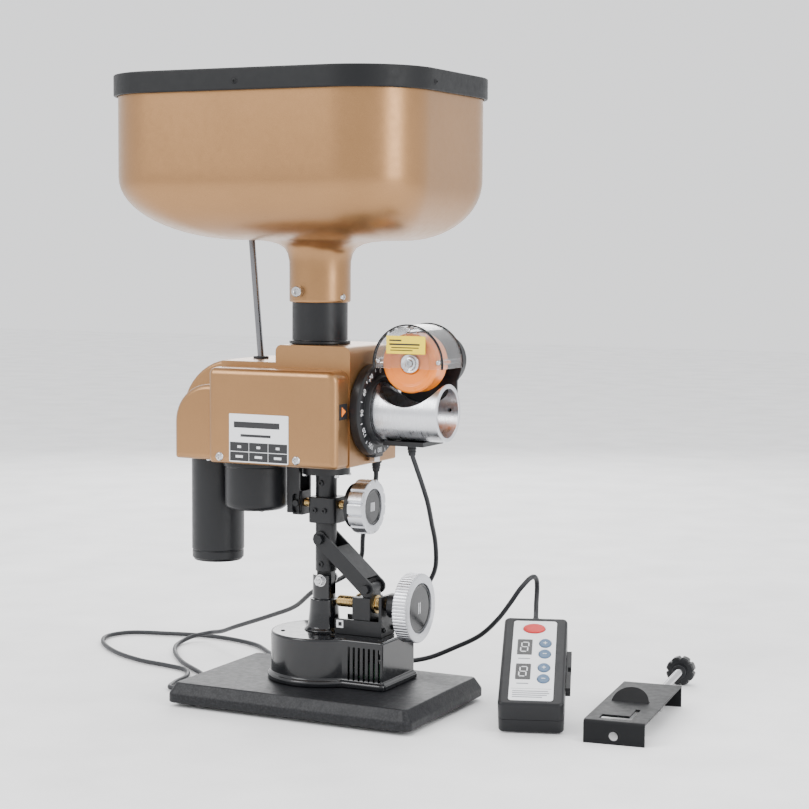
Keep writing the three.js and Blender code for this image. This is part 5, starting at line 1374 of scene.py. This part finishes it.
def controller():
    width, length, height = CONTROLLER_WIDTH, CONTROLLER_LENGTH, CONTROLLER_HEIGHT
    outline = box_outline(0, width, 0, length, [5, 5, 5, 5], 1.0)
    wall = 2.5
    inner = lambda inset: outline(wall)
    lower = cut(pillow(outline, "z", 0, SPLIT - 0.35, 2.2, 0), pillow(inner, "z", wall, SPLIT + 1))
    on_controller(lower, "handset_back", "root", "plastic", "black_plastic", "controller_base")
    upper = cut(pillow(outline, "z", SPLIT, height, 0, 2.8), pillow(inner, "z", SPLIT - 1, height - wall))
    field = rounded(*PANEL, 3)
    on_controller(cut(upper, prism(field, "z", height - 0.9, height + 2), *key_holes()), "handset_front",
                  "root", "plastic",
                  "black_plastic", "controller_top")
    panel = prism(rounded(PANEL[0] + 0.3, PANEL[1] - 0.3, PANEL[2] + 0.3, PANEL[3] - 0.3, 2.8), "z",
                  height - 0.6,
                  height + 0.1, 0.12)
    on_controller(cut(panel, *key_holes()), "handset_panel", "root", "white", "white_plastic",
                  "controller_panel")
    for i, y in enumerate(BUTTON_ROWS):
        cap = key_cap((BUTTON_X, y), BUTTON_HALF, 48,
                      ((0, 0.5), (0.25, 1.0), (0.9, 1.35), (1.9, 1.25), (3.4, 0.95),
                                                       (4.6, 0.85)))
        on_controller(cap, f"soft_button_{i + 1}", f"button_{i + 1}", "button", "blue_grey_plastic",
                      f"button_{i + 1}")
        sign = block(BUTTON_X - 1.8, BUTTON_X + 1.8, y - 0.35, y + 0.35, height + 0.84, height + 1.02, 0.03)
        if i % 2 == 0:
            sign = joined(sign, block(BUTTON_X - 0.35, BUTTON_X + 0.35, y - 1.8, y + 1.8, height + 0.84,
                                      height + 1.01))
        on_controller(sign, f"button_sign_{i + 1}", f"button_{i + 1}", "mark", "white_plastic")
    cap = key_cap(KEY, KEY_HALF, 56, ((0, 0.9), (0.3, 1.4), (1.1, 1.65), (3, 1.8), (5.2, 1.85)))
    on_controller(cap, "red_key", "power_key", "red", "red_plastic", "power_key")
    windows, digits, prints = [], [], []
    for low, high in ((67, 88.4), (33, 54.4)):
        windows.append(prism(rounded(13.5, 26.7, low, high, 0.8), "z", height + 0.05, height + 0.35, 0.08))
        digits += seven_segments(20, (low + high) / 2, height + 0.32)
        prints.append(block(15, 25.4, low - 5.9, low - 4.8, height + 0.05, height + 0.2, 0.02))
    prints.append(block(PANEL[0] + 2, PANEL[1] - 2, 20.6, 20.9, height + 0.05, height + 0.2, 0.02))
    for row, end in enumerate((43, 44, 42, 38)):
        y = 17 - 2.6 * row
        prints.append(block(12, end, y, y + 1, height + 0.05, height + 0.18, 0.02))
    on_controller(gathered("windows", windows), "display_windows", "root", "window", "black_plastic")
    on_controller(gathered("digits", digits), "display_digits", "root", "mark", "white_plastic")
    on_controller(gathered("prints", prints), "panel_print", "root", "grey", "white_plastic")
    kept("controller_stand", "metal", 0.7)
    screws = [placed(screw_head("cross", 2.6), (x, y, 0), (0, 0, -1)) for x in (8, 49) for y in (9, 112)]
    on_controller(gathered("handset_screws", screws), "handset_screws", "root", "steel", "steel")
    kept("controller_clip", "metal", 0.4)
    dot = disc("x", (56.5, 21), 1.3, width + 1.6, width + 2.3, 0.2, 32)
    on_controller(dot, "clip_dot", "root", "steel", "steel")
    gland_profile = [(2.5, 0), (4.6, 0), (4.6, 1.8), (3.9, 2.3), (3.9, 3.3), (4.3, 3.8), (3.5, 4.8),
                     (3.9, 5.8),
                     (3.3, 6.8), (3.6, 7.8), (3.0, 9), (2.9, 11), (2.5, 11)]
    shape = placed(lathe(gland_profile, soft=0.3, closed=True, sides=48), (27.5, length, 22), (0, 1, 0))
    on_controller(shape, "handset_gland", "root", "rubber", "rubber", "controller_gland")


def seven_segments(x, y, z):
    """The unlit figure of a one-digit display, leaning a little."""
    half_w, half_h, bar = 3.1, 6.4, 1.0
    made = []
    for v in (-half_h, 0, half_h):
        lean = v * 0.12
        made.append(block(x - half_w + 0.8 + lean, x + half_w - 0.8 + lean, y + v - bar / 2, y + v + bar / 2,
                          z,
                          z + 0.12, 0.02))
    for u in (-half_w, half_w):
        for v in (-half_h / 2, half_h / 2):
            lean = v * 0.12
            made.append(block(x + u - bar / 2 + lean, x + u + bar / 2 + lean, y + v - 2.5, y + v + 2.5, z,
                              z + 0.12,
                              0.02))
    return made


# ---------------------------------------------------------------- table bracket
BRACKET_PLACE = Matrix.Translation((270, -36, 0)) @ Matrix.Rotation(math.radians(6.8), 4, "Z")
CLAMP_X, CLAMP_Z = 34.5, 13.8


def on_bracket(shape, *details, **more):
    return piece(moved(shape, BRACKET_PLACE), *details, **more)


def half_disc(radius):
    return [Vector((radius, 0)), *circle_part(0, 0, radius, 0, 180, 32)[1:-1], Vector((-radius, 0))]


def table_bracket():
    width, length, height, sheet, bend = 53, 157, 20, 2, 3.4
    outer = rounded(0, length, -10, height, [0.5, 0.5, bend, bend], 8)
    inner = rounded(sheet, length - sheet, -12, height - sheet, [0.5, 0.5, bend - sheet, bend - sheet], 8)
    shape = cut(prism(outer, "x", 0, width), prism(inner, "x", -2, width + 2), block(-5, 65, -5, 165, -20, 0))
    slot = [Vector(p) for p in ((11, 10), (39, 10), (39, 49), (34.6, 49), (34.6, 23.5), (11, 23.5))]
    flap_x, flap_y, flap_radius, flap_rise = 23.5, 74, 16.5, 42
    opening = moved(prism(half_disc(17.3), "z", -6, 6), Matrix.Translation((flap_x, flap_y + 1, height)))
    shape = cut(shape, disc("y", (26, 7), 4, -8, 8, 0, 40),
                disc("y", (CLAMP_X, CLAMP_Z), 4, length - 9, length + 9, 0, 40),
                prism(softened(slot, 1.2, 4, True), "z", 10, 30), opening)
    tilt = Matrix.Translation((flap_x, flap_y, height)) @ Matrix.Rotation(math.radians(flap_rise), 4, "X")
    shape = joined(shape, moved(prism(half_disc(flap_radius), "z", -sheet, 0), tilt))
    shape = rounded_edges(shape, 0.3, 2, 55)
    on_bracket(shape, "bent_bracket", "root", "enamel", "black_metal", "table_bracket", 32)
    on_bracket(thread(118, 241, 3.5, 1.5, 0.4, "y", (CLAMP_X, CLAMP_Z)), "clamp_thread", "clamp_screw",
               "steel",
               "steel", "clamp_screw")
    star_knob()
    kept("clamp_pad", "steel", 0.8)


def star_knob():
    lobes, sides, radius = 8, 160, 13.6
    rings = []
    for r, y, wave in ((2.5, 236, 0), (6.4, 236, 0), (6.8, 236.6, 0), (7.2, 240.3, 0),
                       (radius - 1.4, 240.6, 1),
                       (radius, 241.8, 1), (radius, 250.6, 1), (radius - 1.0, 252, 1), (8.4, 252.3, 0),
                       (7.8, 251.2, 0), (2, 251, 0)):
        lobed = lambda angle: r - wave * 2.0 * max(0.0, math.cos(lobes * angle)) ** 3
        rings.append(around("y", y, (CLAMP_X, CLAMP_Z), lobed, sides))
    on_bracket(loft(rings), "star_knob", "clamp_screw", "plastic", "rim_black", "clamp_knob")


def strain_reliefs():
    for name, route, end, body in (("throw_gland", THROW_MOTOR_ROUTE, 0, "throwing_head"),
                                   ("throw_entry", THROW_MOTOR_ROUTE, -1, "root"),
                                   ("feed_gland", FEED_MOTOR_ROUTE, 0, "head"),
                                   ("feed_entry", FEED_MOTOR_ROUTE, -1, "root"),
                                   ("controller_entry", CONTROLLER_ROUTE, 0, "root")):
        point = Vector(route[end])
        inner = Vector(route[1 if end == 0 else -2])
        gland(name, point, inner - point, body)


# ---------------------------------------------------------------- everything
LOOKS = make_materials()
make_camera()
leads()
make_stage()
base()
drum()
turret()
column()
link()
knobs()
case()
motors()
hopper()
dial()
tube()
wheel()
cover()
throw_motor()
controller()
table_bracket()
strain_reliefs()
